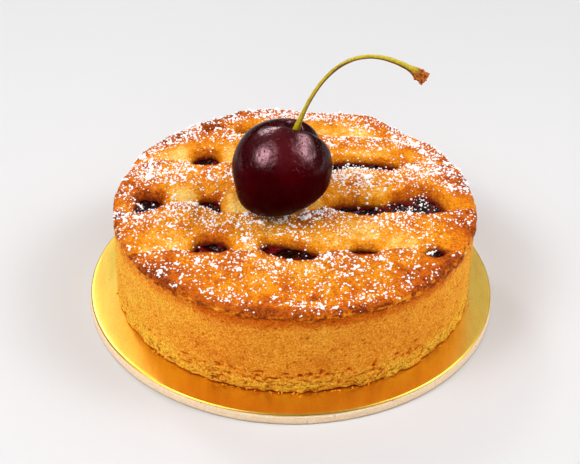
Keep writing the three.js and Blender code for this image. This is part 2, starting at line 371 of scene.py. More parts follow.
class Sketch:
    """Places and joins the nodes of one material, world or node group."""

    FACTOR, COLOUR_A, COLOUR_B = 0, 6, 7
    COLOUR_OUT = 2

    def __init__(self, tree: bpy.types.NodeTree) -> None:
        """Starts on a node tree."""
        self.tree = tree

    def feed(self, socket: Socket, value: Value) -> None:
        """Joins a socket to another one, or gives it a plain value.

        Args:
            socket: the input.
            value: an output socket, the value to set, or None to leave the input alone.
        """
        if isinstance(value, Socket):
            self.tree.links.new(value, socket)
        elif value is not None:
            socket.default_value = value

    def fill(self, node: Node, inputs: dict[str, Value]) -> None:
        """Feeds each named input of a node with a socket or a plain value."""
        for name, value in inputs.items():
            self.feed(node.inputs[name], value)

    def add(self, kind: str, inputs: dict[str, Value] | None = None, **settings: object) -> Node:
        """Places one node.

        Args:
            kind: the node's type, without its common prefix.
            inputs: what each named input gets.
            settings: the node's own options.

        Returns:
            The new node.
        """
        node = self.tree.nodes.new("ShaderNode" + kind)
        for name, value in settings.items():
            setattr(node, name, value)
        self.fill(node, inputs or {})
        return node

    def colours(self, share: Value, low: Value, high: Value, blend: str = "MIX") -> Socket:
        """Blends two colours.

        Args:
            share: how much of the second colour shows.
            low: the first colour.
            high: the second colour.
            blend: the way they blend.

        Returns:
            The blended colour.
        """
        node = self.add("Mix", data_type="RGBA", blend_type=blend)
        for place, value in ((self.FACTOR, share), (self.COLOUR_A, low), (self.COLOUR_B, high)):
            self.feed(node.inputs[place], value)
        return node.outputs[self.COLOUR_OUT]

    def maths(self, operation: str, first: Value, second: Value = None) -> Socket:
        """Does one sum.

        Args:
            operation: the kind of sum.
            first: the first number.
            second: the second number, if the sum takes one.

        Returns:
            The result.
        """
        node = self.add("Math", operation=operation)
        self.feed(node.inputs[0], first)
        self.feed(node.inputs[1], second)
        return node.outputs[0]

    def plus(self, first: Value, second: Value) -> Socket:
        """The first number and the second together."""
        return self.maths("ADD", first, second)

    def minus(self, first: Value, second: Value) -> Socket:
        """The first number less the second."""
        return self.maths("SUBTRACT", first, second)

    def times(self, first: Value, second: Value) -> Socket:
        """The first number times the second."""
        return self.maths("MULTIPLY", first, second)

    def ease(self, value: Value, low: float, high: float, start: float = 0.0, end: float = 1.0) -> Socket:
        """Maps a value from the range low to high onto start to end, with eased ends."""
        inputs = {"Value": value, "From Min": low, "From Max": high, "To Min": start, "To Max": end}
        return self.add("MapRange", inputs, interpolation_type="SMOOTHSTEP").outputs[0]

    def place(self, tall: float = 1.0, deep: float = 1.0) -> Socket:
        """Reads the piece's own coordinates, stretched for grain that runs one way.

        Args:
            tall: how much closer together things lie upwards.
            deep: how much closer together they lie from front to back.

        Returns:
            The coordinates.
        """
        here = self.add("TexCoord").outputs["Object"]
        if tall == deep == 1.0:
            return here
        return self.add("Mapping", {"Vector": here, "Scale": (1.0, deep, tall)}).outputs[0]

    def cloud(self, vector: Socket, scale: Value, detail: float = 3.0, rough: float = 0.6) -> Socket:
        """Soft noise from 0 to 1: its lumps to a metre, its smaller sizes and how strong they are."""
        inputs = {"Vector": vector, "Scale": scale, "Detail": detail, "Roughness": rough}
        return self.add("TexNoise", inputs).outputs["Fac"]

    def swing(self, vector: Socket, scale: Value, detail: float = 3.0) -> Socket:
        """Soft layered noise that goes below and above zero."""
        return self.minus(self.cloud(vector, scale, detail), 0.5)

    def dots(self, vector: Socket, scale: float) -> Socket:
        """The distance, in cells, to the nearest of many points scattered so many to a metre."""
        return self.add("TexVoronoi", {"Vector": vector, "Scale": scale}).outputs["Distance"]

    def mark(self, name: str) -> Socket:
        """Reads the value that a mesh keeps at its points under a name."""
        return self.add("Attribute", attribute_name=name, attribute_type="GEOMETRY").outputs["Fac"]

    def bump(self, height: Socket, depth: float, strength: float = 1.0, under: Value = None) -> Socket:
        """A normal bumped by a height that is so many metres deep, laid over another normal."""
        inputs = {"Height": height, "Distance": depth, "Strength": strength, "Normal": under}
        return self.add("Bump", inputs).outputs["Normal"]


def start_material(name: str) -> tuple[Material, Sketch, Node]:
    """Starts a material with one principled shader.

    Args:
        name: the material's name.

    Returns:
        The material, its sketch and the shader node.
    """
    material = bpy.data.materials.new(name)
    material.use_nodes = True
    return material, Sketch(material.node_tree), material.node_tree.nodes["Principled BSDF"]


class Effect(Enum):
    """The effects that several finishes share, each a node group built once."""

    BROWNING = "oven_browning"
    GRAIN = "sandy_grain"
    FILM = "sugar_film"


class Kind(Enum):
    """What a group's socket carries."""

    NUMBER = "NodeSocketFloat"
    COLOUR = "NodeSocketColor"


class Effects:
    """Builds the shared node groups and places them in materials."""

    def __init__(self) -> None:
        """Builds all the groups."""
        builders = {Effect.BROWNING: self.browning, Effect.GRAIN: self.grain, Effect.FILM: self.film}
        self.trees = {effect: build() for effect, build in builders.items()}

    def start(
        self, effect: Effect, inputs: dict[str, float | Colour], kinds: dict[str, Kind]
    ) -> tuple[Sketch, dict[str, Socket], Node]:
        """Starts a group with its named sockets.

        Args:
            effect: which group it is.
            inputs: each input's usual value, a number or a colour.
            kinds: what each output carries.

        Returns:
            The sketch, what the group is given by name, and the node that takes its results.
        """
        tree = bpy.data.node_groups.new(effect.value, "ShaderNodeTree")
        for name, usual in inputs.items():
            kind = Kind.COLOUR if isinstance(usual, tuple) else Kind.NUMBER
            socket = tree.interface.new_socket(name=name, in_out="INPUT", socket_type=kind.value)
            socket.default_value = usual
        for name, kind in kinds.items():
            tree.interface.new_socket(name=name, in_out="OUTPUT", socket_type=kind.value)
        given = outputs(tree.nodes.new("NodeGroupInput"))
        return Sketch(tree), given, tree.nodes.new("NodeGroupOutput")

    def browning(self) -> bpy.types.NodeTree:
        """Makes pastry colour from pale to dark by how far it is baked, and soaked with juice; on the wall
        and on the rim's broken edge the bake also carries painted light and shade.

        Returns:
            The group.
        """
        inputs = {
            "Bake": 0.5, "Stain": 0.0, "Mottle": 0.5, "Pale": paint(248, 198, 96),
            "Golden": paint(240, 155, 35), "Brown": paint(200, 105, 30), "Dark": paint(120, 50, 18),
            "Juice": paint(106, 24, 5),
        }
        sketch, given, result = self.start(Effect.BROWNING, inputs, {"Color": Kind.COLOUR})
        here = sketch.place()
        wide, fine = sketch.swing(here, 260, 4), sketch.swing(here, 1500)
        wrinkle = sketch.maths("ABSOLUTE", sketch.swing(here, 700, 4))
        uneven = sketch.plus(wide, sketch.times(fine, 1.8))
        uneven = sketch.plus(uneven, sketch.ease(wrinkle, 0.05, 0.0, -0.03, 0.2))
        bake = sketch.plus(given["Bake"], sketch.times(uneven, given["Mottle"]))
        colour = given["Pale"]
        for name, low, high in (("Golden", 0.0, 0.45), ("Brown", 0.4, 0.78), ("Dark", 0.74, 1.08)):
            colour = sketch.colours(sketch.ease(bake, low, high), colour, given[name])
        soak = sketch.plus(given["Stain"], sketch.times(fine, 0.35))
        sketch.fill(result, {"Color": sketch.colours(sketch.ease(soak, 0.1, 0.85), colour, given["Juice"])})
        return sketch.tree

    def grain(self) -> bpy.types.NodeTree:
        """Makes sandy crumb: a height for bumps, a speckle for tone that also paints shade on the low grains
        and light on the high ones, and a mask of tiny pores that are painted as shade.

        Returns:
            The group.
        """
        kinds = {"Height": Kind.NUMBER, "SpeckleAndShade": Kind.NUMBER, "PoreShade": Kind.NUMBER}
        sketch, given, result = self.start(Effect.GRAIN, {"Scale": 2400.0, "Pores": 0.5}, kinds)
        here = sketch.place()
        sand = sketch.cloud(here, given["Scale"], 4, 0.65)
        lumps = sketch.cloud(here, sketch.times(given["Scale"], 0.3), 3, 0.5)
        spots = sketch.cloud(here, sketch.times(given["Scale"], 0.42), 2, 0.5)
        pore = sketch.times(sketch.ease(spots, 0.36, 0.3), given["Pores"])
        height = sketch.plus(sketch.times(sand, 0.5), sketch.times(lumps, 0.5))
        height = sketch.minus(height, sketch.times(pore, 0.2))
        # The speckle follows the sand that also raises the bumps: painted shade on the low grains, painted
        # light on the high ones.
        sketch.fill(result, {"Height": height, "SpeckleAndShade": sketch.ease(sand, 0.38, 0.62), "PoreShade": pore})
        return sketch.tree

    def film(self) -> bpy.types.NodeTree:
        """Makes a thin veil of icing sugar that has sunk into the glaze.

        Returns:
            The group.
        """
        inputs = {"Color": paint(230, 150, 60), "Amount": 0.3, "Sugar": paint(255, 240, 226)}
        kinds = {"Color": Kind.COLOUR, "Film": Kind.NUMBER}
        sketch, given, result = self.start(Effect.FILM, inputs, kinds)
        here = sketch.place()
        patch, specks = sketch.cloud(here, 620, 4, 0.65), sketch.cloud(here, 3300, 2, 0.5)
        both = sketch.plus(sketch.times(patch, 0.55), sketch.times(specks, 0.45))
        veil = sketch.ease(sketch.plus(both, sketch.times(given["Amount"], 0.42)), 0.64, 0.86, 0.0, 0.22)
        colour = sketch.colours(veil, given["Color"], given["Sugar"])
        sketch.fill(result, {"Color": colour, "Film": veil})
        return sketch.tree

    def use(self, sketch: Sketch, effect: Effect, **inputs: Value) -> dict[str, Socket]:
        """Places a shared effect in a material.

        Args:
            sketch: the material's sketch.
            effect: which effect.
            inputs: its named inputs, as values or sockets.

        Returns:
            The group's outputs by name.
        """
        node = sketch.add("Group", node_tree=self.trees[effect])
        sketch.fill(node, inputs)
        return outputs(node)


# Finishes


@dataclass(frozen=True)
class Pastry:
    """Baked shortcrust: the egg-washed top and lattice, or the dry side of the shell."""

    name: str
    pale: Colour
    golden: Colour
    brown: Colour
    dark: Colour
    mottle: float
    grain: float
    pores: float
    depth: float
    gloss: float
    dryness: float
    speckle: float
    cracks: float = 0.0
    # The speckle's two tones: painted shade on the low grains and painted light on the high ones, over the
    # grain's own tone.
    shaded: Point3 = (-0.17, -0.46, -0.85)
    bright: Point3 = (0.12, 0.44, 1.8)
    film_dryness: float = 0.3
    crack_depth: float = 0.4

    def make(self, effects: Effects) -> Material:
        """Builds the material.

        Args:
            effects: the shared node groups.

        Returns:
            The material.
        """
        material, sketch, shader = start_material(self.name)
        grain = effects.use(sketch, Effect.GRAIN, Scale=self.grain, Pores=self.pores)
        browning = effects.use(
            sketch, Effect.BROWNING, Bake=sketch.mark("bake"), Stain=sketch.mark("stain"), Mottle=self.mottle,
            Pale=self.pale, Golden=self.golden, Brown=self.brown, Dark=self.dark,
        )
        tones = [(*(1 + self.speckle * part for part in tone), 1.0) for tone in (self.shaded, self.bright)]
        tone = sketch.colours(grain["SpeckleAndShade"], *tones)
        speckled = sketch.colours(1.0, browning["Color"], tone, "MULTIPLY")
        # The pores are painted brown as painted shade in the tiny holes.
        colour, height = sketch.colours(grain["PoreShade"], speckled, self.brown), grain["Height"]
        if self.cracks:
            gap = self.crack_mask(sketch)
            # The cracks are painted dark as painted shade inside them.
            colour = sketch.colours(gap, colour, self.dark)
            height = sketch.minus(height, sketch.times(gap, self.crack_depth))
        film = effects.use(sketch, Effect.FILM, Color=colour, Amount=sketch.mark("dust"))
        sketch.fill(shader, {
            "Base Color": film["Color"],
            "Roughness": sketch.plus(sketch.times(film["Film"], self.film_dryness), self.dryness),
            "Normal": sketch.bump(height, self.depth),
            "Specular IOR Level": self.gloss,
        })
        return material

    def crack_mask(self, sketch: Sketch) -> Socket:
        """Finds the short flat cracks between the layers of crumbly pastry.

        Args:
            sketch: the material's sketch.

        Returns:
            How much of a crack each place is in.
        """
        line = sketch.maths("ABSOLUTE", sketch.swing(sketch.place(tall=2.8), 270, 4))
        broken = sketch.ease(sketch.cloud(sketch.place(tall=1.6), 700), 0.53, 0.6)
        gap = sketch.times(sketch.ease(line, 0.045, 0.02), broken)
        return sketch.times(sketch.times(gap, sketch.mark("crumbly")), self.cracks)


@dataclass(frozen=True)
class GoldFoil:
    """Gold foil paper with a fine matt tooth."""

    colour: Colour = (0.99, 0.66, 0.06, 1.0)
    worn: Colour = (0.92, 0.54, 0.035, 1.0)
    smoothest: float = 0.28
    roughest: float = 0.34
    tooth: float = 0.000008
    lacquer: float = 1.0
    lacquer_roughness: float = 0.3

    def make(self) -> Material:
        """Builds the material.

        Returns:
            The material.
        """
        material, sketch, shader = start_material("gold_foil")
        tooth, waves = sketch.cloud(sketch.place(), 2600), sketch.cloud(sketch.place(deep=0.22), 420)
        rubbed = sketch.times(sketch.plus(waves, tooth), 0.5)
        creased = sketch.bump(waves, self.tooth * 2.5, 0.6)
        sketch.fill(shader, {
            "Base Color": sketch.colours(sketch.ease(rubbed, 0.4, 0.62), self.colour, self.worn),
            "Roughness": sketch.ease(tooth, 0.3, 0.7, self.smoothest, self.roughest),
            "Normal": sketch.bump(tooth, self.tooth, 0.8, creased),
            "Metallic": 1.0,
            "Coat Weight": self.lacquer,
            "Coat Roughness": self.lacquer_roughness,
        })
        return material


@dataclass(frozen=True)
class CutBoard:
    """The cut edge of grey-backed card, pale with fibres and small brown chips."""

    pale: Colour = paint(255, 236, 206)
    warm: Colour = paint(248, 206, 160)
    chip: Colour = paint(140, 84, 40)
    fibre_depth: float = 0.00018
    roughness: float = 0.85
    gloss: float = 0.2

    def make(self) -> Material:
        """Builds the material.

        Returns:
            The material.
        """
        material, sketch, shader = start_material("cut_board")
        fibres, chips = sketch.cloud(sketch.place(tall=3.2), 1500, 4), sketch.dots(sketch.place(), 520)
        sparse = sketch.times(sketch.ease(chips, 0.16, 0.06), sketch.ease(fibres, 0.42, 0.6))
        colour = sketch.colours(sketch.ease(fibres, 0.35, 0.68), self.pale, self.warm)
        colour = sketch.colours(sparse, colour, self.chip)
        sketch.fill(shader, {
            "Base Color": sketch.colours(sketch.mark("scuff"), colour, self.chip),
            "Normal": sketch.bump(fibres, self.fibre_depth, 0.8),
            "Roughness": self.roughness,
            "Specular IOR Level": self.gloss,
        })
        return material


@dataclass(frozen=True)
class CherryFilling:
    """Thick dark cherry filling, wet and lumpy."""

    deep: Colour = paint(15, 0, 1)
    thin: Colour = paint(104, 10, 14)
    wettest: float = 0.07
    driest: float = 0.16
    lump_depth: float = 0.0022
    gloss: float = 0.24
    gloss_tint: Colour = (1.0, 0.68, 0.68, 1.0)

    def make(self) -> Material:
        """Builds the material.

        Returns:
            The material.
        """
        material, sketch, shader = start_material("cherry_filling")
        here = sketch.place()
        pulp, skins = sketch.cloud(here, 430, 2, 0.4), sketch.cloud(here, 1500)
        sketch.fill(shader, {
            "Base Color": sketch.colours(sketch.ease(pulp, 0.5, 0.75), self.deep, self.thin),
            "Roughness": sketch.ease(skins, 0.3, 0.7, self.wettest, self.driest),
            "Normal": sketch.bump(pulp, self.lump_depth),
            "Specular IOR Level": self.gloss,
            "Specular Tint": self.gloss_tint,
        })
        return material


@dataclass(frozen=True)
class CherrySkin:
    """Ripe black-red cherry skin with a wax-like sheen and fine pits; the sheen is cut back underneath and at
    the edges as painted shade, and raised on top to brighten the highlight there.
    """

    deep: Colour = paint(42, 1, 3)
    ruby: Colour = paint(72, 0, 6)
    # The colour of the painted shade in the stem cavity and the seam.
    shade: Colour = paint(20, 0, 2)
    smoothest: float = 0.17
    roughest: float = 0.22
    dimmest_gloss: float = 0.01
    fullest_gloss: float = 0.76
    gloss_tint: Colour = (1.0, 0.52, 0.59, 1.0)
    swell_depth: float = 0.00028
    streak_depth: float = 0.00018
    pit_depth: float = 0.0002

    def make(self) -> Material:
        """Builds the material.

        Returns:
            The material.
        """
        material, sketch, shader = start_material("cherry_skin")
        here = sketch.place()
        streaks, fine = sketch.cloud(sketch.place(tall=0.35), 500, 4), sketch.cloud(here, 2800, 2, 0.5)
        wide, swell = sketch.cloud(here, 90, 3, 0.5), sketch.cloud(here, 420, 2, 0.5)
        redder_front = sketch.plus(sketch.mark("redder_front"), sketch.times(sketch.minus(streaks, 0.5), 0.5))
        colour = sketch.colours(sketch.ease(redder_front, 0.1, 0.9), self.deep, self.ruby)
        pitting = sketch.times(sketch.ease(sketch.dots(here, 900), 0.24, 0.06), sketch.ease(wide, 0.44, 0.54))
        height = sketch.minus(sketch.times(fine, 0.12), pitting)
        ripple = sketch.bump(streaks, self.streak_depth, 0.7, sketch.bump(swell, self.swell_depth, 0.7))
        edge_on = sketch.add("LayerWeight", {"Blend": 0.5}).outputs["Facing"]
        # The gloss fades towards the skin's edges as seen, as painted shade.
        shaded_gloss = sketch.times(sketch.mark("shaded_gloss"), sketch.ease(edge_on, 0.25, 0.62, 1.0, 0.1))
        sketch.fill(shader, {
            # The stem cavity and the seam are darkened as painted shade.
            "Base Color": sketch.colours(sketch.mark("hollow_shade"), colour, self.shade),
            "Normal": sketch.bump(height, self.pit_depth, 0.9, ripple),
            "Roughness": sketch.ease(fine, 0.3, 0.7, self.smoothest, self.roughest),
            "Specular IOR Level": sketch.ease(shaded_gloss, 0.0, 1.0, self.dimmest_gloss, self.fullest_gloss),
            "Specular Tint": self.gloss_tint,
        })
        return material


@dataclass(frozen=True)
class StemSkin:
    """Yellow-green cherry stem, brown underneath as painted shade, with a woody knob."""

    green: Colour = paint(214, 192, 22)
    olive: Colour = paint(170, 144, 14)
    # The brown of the blush and of the painted shade underneath.
    tan_and_shade: Colour = paint(112, 62, 10)
    wood: Colour = paint(206, 112, 24)
    bark: Colour = paint(92, 32, 10)
    ridge_depth: float = 0.00012
    skin_roughness: float = 0.42
    wood_roughness: float = 0.8
    gloss: float = 0.4

    def make(self) -> Material:
        """Builds the material.

        Returns:
            The material.
        """
        material, sketch, shader = start_material("cherry_stem")
        streaks = sketch.cloud(sketch.place(tall=0.3), 2400, 4)
        spots, woody = sketch.cloud(sketch.place(), 1300, 4, 0.7), sketch.mark("wood")
        tan_shade_and_spots = sketch.plus(sketch.mark("tan_and_shade"), sketch.ease(spots, 0.62, 0.72, 0.0, 0.5))
        skin = sketch.colours(sketch.ease(streaks, 0.35, 0.68), self.green, self.olive)
        skin = sketch.colours(sketch.ease(tan_shade_and_spots, 0.1, 0.95), skin, self.tan_and_shade)
        knob = sketch.colours(sketch.ease(spots, 0.42, 0.62), self.wood, self.bark)
        sketch.fill(shader, {
            "Base Color": sketch.colours(woody, skin, knob),
            "Normal": sketch.bump(streaks, self.ridge_depth, 0.8),
            "Roughness": sketch.ease(woody, 0.0, 1.0, self.skin_roughness, self.wood_roughness),
            "Specular IOR Level": self.gloss,
        })
        return material


@dataclass(frozen=True)
class IcingSugar:
    """Soft white icing sugar that glows a little as painted light."""

    white: Colour = (0.98, 0.975, 0.97, 1.0)
    shade: Colour = (0.93, 0.9, 0.88, 1.0)
    powder_depth: float = 0.00012
    roughness: float = 0.9
    gloss: float = 0.15
    # How strongly the sugar glows, as painted light.
    glow: float = 0.1

    def make(self) -> Material:
        """Builds the material.

        Returns:
            The material.
        """
        material, sketch, shader = start_material("icing_sugar")
        powder = sketch.cloud(sketch.place(), 6500)
        sketch.fill(shader, {
            "Base Color": sketch.colours(sketch.ease(powder, 0.3, 0.55), self.shade, self.white),
            "Normal": sketch.bump(powder, self.powder_depth, 0.9),
            "Roughness": self.roughness,
            "Specular IOR Level": self.gloss,
            "Emission Color": self.white,
            "Emission Strength": self.glow,
        })
        return material


@dataclass(frozen=True)
class StudioFloor:
    """A plain pale floor that stays pale out to where the lights don't reach."""

    light: Colour = (0.67, 0.665, 0.67, 1.0)
    soft: Colour = (0.65, 0.645, 0.65, 1.0)
    unlit: Colour = (0.0, 0.0, 0.0, 1.0)
    distant: Colour = (0.6, 0.59, 0.59, 1.0)
    fade_from: float = 0.45
    fade_to: float = 1.3
    roughness: float = 0.65
    gloss: float = 0.2

    def make(self) -> Material:
        """Builds the material.

        Returns:
            The material.
        """
        material, sketch, shader = start_material("studio_floor")
        here = sketch.place()
        drift = sketch.ease(sketch.cloud(here, 3.0, 2, 0.5), 0.3, 0.7)
        away = sketch.add("VectorMath", {"Vector": here}, operation="LENGTH").outputs["Value"]
        far = sketch.ease(away, self.fade_from, self.fade_to)
        sketch.fill(shader, {
            "Base Color": sketch.colours(drift, self.light, self.soft),
            "Emission Color": sketch.colours(far, self.unlit, self.distant),
            "Emission Strength": 1.0,
            "Roughness": self.roughness,
            "Specular IOR Level": self.gloss,
        })
        return material


GLAZED = Pastry(
    "glazed_pastry", pale=paint(252, 206, 100), golden=paint(240, 148, 12), brown=paint(204, 96, 10),
    dark=paint(128, 48, 6), mottle=0.5, grain=2100.0, pores=0.3, depth=0.0008, gloss=0.06, dryness=0.4,
    speckle=0.55,
)
DRY_SIDE = Pastry(
    "dry_shortcrust", pale=paint(255, 194, 54), golden=paint(248, 158, 40), brown=paint(216, 98, 10),
    dark=paint(140, 50, 4), mottle=0.32, grain=1900.0, pores=0.85, depth=0.0005, gloss=0.04, dryness=0.75,
    speckle=0.75, cracks=0.85,
)


# The top of the pie


@dataclass(frozen=True)
class Opening:
    """A rounded gap behind a strip's edge where the filling shows, by its ends and far edge."""

    start: float
    end: float
    rear: float
    wall: float = 1.5
    depth: float = 3.6
    square: float = 3.0
    stain: float = 1.0
    lean: float = 0.0

    def beyond(self, x: Array, y: Array, edge: Array) -> Array:
        """Works out how far outside the gap's outline each place is.

        Args:
            x, y: the places.
            edge: the y of the strip's edge at each place.

        Returns:
            About how many millimetres outside, below zero inside.
        """
        half = (self.end - self.start) / 2
        middle = (self.start + self.end) / 2
        reach = np.maximum(self.rear + self.lean * (x - middle) - edge, 0.6)
        u = np.abs(x - middle) / half + 1e-6
        v = np.abs(y - edge) / reach + 1e-6
        power = self.square
        around = (u**power + v**power) ** (1 / power)
        slope = np.hypot(u ** (power - 1) / half, v ** (power - 1) / reach) * around ** (1 - power)
        return (around - 1) / np.maximum(slope, 1e-3)


@dataclass(frozen=True)
class Crease:
    """The step down behind one strip: where its rear edge runs, and how deep it is along it."""

    edge: Curve
    depths: Curve
    openings: tuple[Opening, ...] = ()
    floor: float = 0.6
    slope: float = 5.0
    lead: float = 0.7

    def offset(self, x: Array, y: Array) -> Array:
        """How far behind the edge each place is."""
        return y - smooth_line(self.edge, x)

    def sunk(self, x: Array, y: Array) -> Array:
        """Works out how far the surface drops behind the edge.

        Args:
            x, y: the places.

        Returns:
            The drop at each place, in millimetres.
        """
        behind = self.offset(x, y)
        depth = smooth_line(self.depths, x) * (1 - smoothstep(self.floor, self.floor + self.slope, behind))
        for opening in self.openings:
            outside = opening.beyond(x, y, y - behind)
            hole = 1 - smoothstep(-0.45 * opening.wall, 0.55 * opening.wall, outside)
            depth = mix(depth, np.maximum(depth, opening.depth), hole)
        return depth * smoothstep(-self.lead, 0.35, behind)

    def opened(self, x: Array, y: Array, margin: float) -> Array:
        """Says where the openings are.

        Args:
            x, y: the places.
            margin: how far past its outline an opening still counts.

        Returns:
            The share that is open, from 0 to 1.
        """
        behind = self.offset(x, y)
        share = np.zeros_like(x)
        for opening in self.openings:
            near = 1 - smoothstep(0, margin, opening.beyond(x, y, y - behind))
            share = np.maximum(share, near * opening.stain)
        return share * smoothstep(-1.4, -0.7, behind)


@dataclass(frozen=True)
class Patch:
    """A soft round spot where something on the top differs."""

    x: float
    y: float
    radius: float
    amount: float

    def at(self, x: Array, y: Array) -> Array:
        """The patch's strength at each place."""
        return self.amount * bell(np.hypot(x - self.x, y - self.y), self.radius)


def patches(*rows: tuple[float, float, float, float]) -> tuple[Patch, ...]:
    """Makes patches from their x, y, radius and amount."""
    return tuple(Patch(*row) for row in rows)


@dataclass(frozen=True)
class UnderRun:
    """Where one of the strips underneath runs, by its middle at three rows."""

    front: float
    middle: float
    rear: float
    width: float
    rows: Point3 = (-23.0, -1.5, 21.5)

    def centre(self, y: Array) -> Array:
        """Follows the middle of the strip.

        Args:
            y: the places' y.

        Returns:
            The x of the strip's middle at each y.
        """
        front, middle, rear = self.rows
        spot = np.clip(y, front - 9, rear + 9)
        ahead, behind = (spot - middle) / (front - middle), (spot - middle) / (rear - middle)
        bow = (self.front - self.middle) * np.clip(ahead, 0, None)
        return self.middle + bow + (self.rear - self.middle) * np.clip(behind, 0, None)

    def inside(self, x: Array, y: Array, edge: float = 2.0) -> Array:
        """How far inside the strip each place is, from 0 to 1."""
        off = np.abs(x - self.centre(y))
        return 1 - smoothstep(self.width / 2 - edge / 2, self.width / 2 + edge / 2, off)


REAR_CREASE = Crease(
    edge=(
        (-50, 31), (-40, 36), (-33, 38), (-27, 39.2), (-22, 39.7), (-17, 37), (-12, 36.5), (0, 37.8),
        (12, 37.6), (20, 37.2), (30, 36.2), (38, 35), (44, 31),
    ),
    depths=(
        (-38, 0.2), (-34, 0.8), (-30, 1.0), (-21, 0.9), (-17, 1.2), (-10, 1.6), (0, 1.2), (12, 0.9),
        (30, 0.8), (38, 0.6), (44, 0.2),
    ),
    openings=(
        Opening(-28.2, -21.8, 42.6, wall=2.4, depth=2.3, stain=0.9),
        Opening(-18.0, -12.6, 40.4, wall=1.4),
    ),
)
UPPER_CREASE = Crease(
    edge=(
        (-46, 20), (-40, 21), (-34, 20.6), (-30, 19.8), (-26, 19.2), (-22, 19.8), (-16, 20), (-8, 19.5),
        (0, 18.5), (8, 17.4), (13, 17.8), (16, 19.1), (20, 19.6), (25, 19.1), (29, 18.6), (32, 19.4),
        (35, 21.2), (42, 22),
    ),
    depths=(
        (-46, 0.2), (-41, 0.9), (-36, 0.8), (-31, 1.0), (-22, 1.2), (-17, 0.5), (-10, 1.0), (-5, 1.5),
        (2, 1.2), (8, 1.5), (12, 1.4), (34, 1.0), (40, 0.3),
    ),
    openings=(
        Opening(-30.3, -21.8, 26.6, wall=1.7, square=2.6),
        Opening(10.5, 33.4, 24.0, wall=2.6, lean=-0.15),
    ),
)
MIDDLE_CREASE = Crease(
    edge=(
        (-50, -4), (-46, -4.8), (-42, -4.8), (-38, -3.6), (-33, -1.8), (-29, -1.4), (-25, -2.4),
        (-20.5, -5.2), (-15, -6), (-8, -6), (-2, -6), (5, -5), (10, -2.5), (12, -3.4), (16, -4.4),
        (21, -5.6), (26, -5), (31, -4.4), (36, -4.6), (41, -4), (45, -3), (50, -2),
    ),
    depths=(
        (-50, 0.1), (-46, 0.9), (-36.5, 1.4), (-32, 1.2), (-28, 1.4), (-19.5, 1.2), (-12, 1.2),
        (-5, 1.5), (3, 1.2), (9, 1.3), (12, 1.3), (44, 1.0), (48, 0.2),
    ),
    openings=(
        Opening(-45.0, -37.2, 3.2, wall=2.4, square=3.8),
        Opening(-26.5, -20.9, 2.6, wall=1.6, square=4.5),
        Opening(10.6, 31.0, 1.4, wall=2.8),
        Opening(26.0, 38.0, 4.2, wall=3.0, square=2.5),
        Opening(31.5, 44.0, 7.4, wall=3.4, depth=2.7, square=2.4),
    ),
)
LOWER_CREASE = Crease(
    edge=(
        (-47, -26), (-36, -25), (-27, -24.8), (-22, -24.8), (-18, -24.4), (-12, -24), (-9, -23.8),
        (-5, -25.4), (0, -27.3), (4, -26.9), (8, -25.2), (12, -23.8), (16, -23.9), (20, -24.5), (24, -23.8),
        (28, -22.6), (33, -22.8), (37, -23.6), (40.5, -24), (44, -23.2), (47, -21.6),
    ),
    depths=(
        (-48, 0), (-36, 0.2), (-29, 0.9), (-17.5, 1.0), (-12, 0.7), (-9, 1.2), (9, 1.0), (14, 0.8),
        (25.5, 1.0), (31, 0.8), (36, 1.0), (44.5, 0.6), (47, 0.1),
    ),
    openings=(
        Opening(-27.2, -17.6, -18.0, wall=2.8, square=3.6),
        Opening(-8.7, 7.4, -19.8, wall=2.2, square=3.8, lean=-0.32),
        Opening(15.8, 24.3, -20.7, wall=2.2, square=2.4),
        Opening(37.4, 43.8, -20.2, wall=2.2, square=2.4),
    ),
)
FRONT_CREASE = Crease(
    edge=(
        (-20, -40), (-14, -41.2), (-8, -42), (-3, -43.6), (2, -45), (5, -45.2), (8, -43.8), (12, -43.5),
        (20, -43),
    ),
    depths=((-18, 0), (-14, 0.6), (-6, 0.9), (0, 1.2), (4, 1.4), (6.5, 1.7), (8.5, 0.5), (12, 0.1), (14, 0)),
    floor=0.8,
    slope=5.5,
    lead=1.0,
)


class Level(Enum):
    """The levels that the noise is read at, so that no two uneven things match."""

    SURFACE = 0.0
    BROWNING = 4.0
    FILLING = 9.0
    SUGAR = 21.0


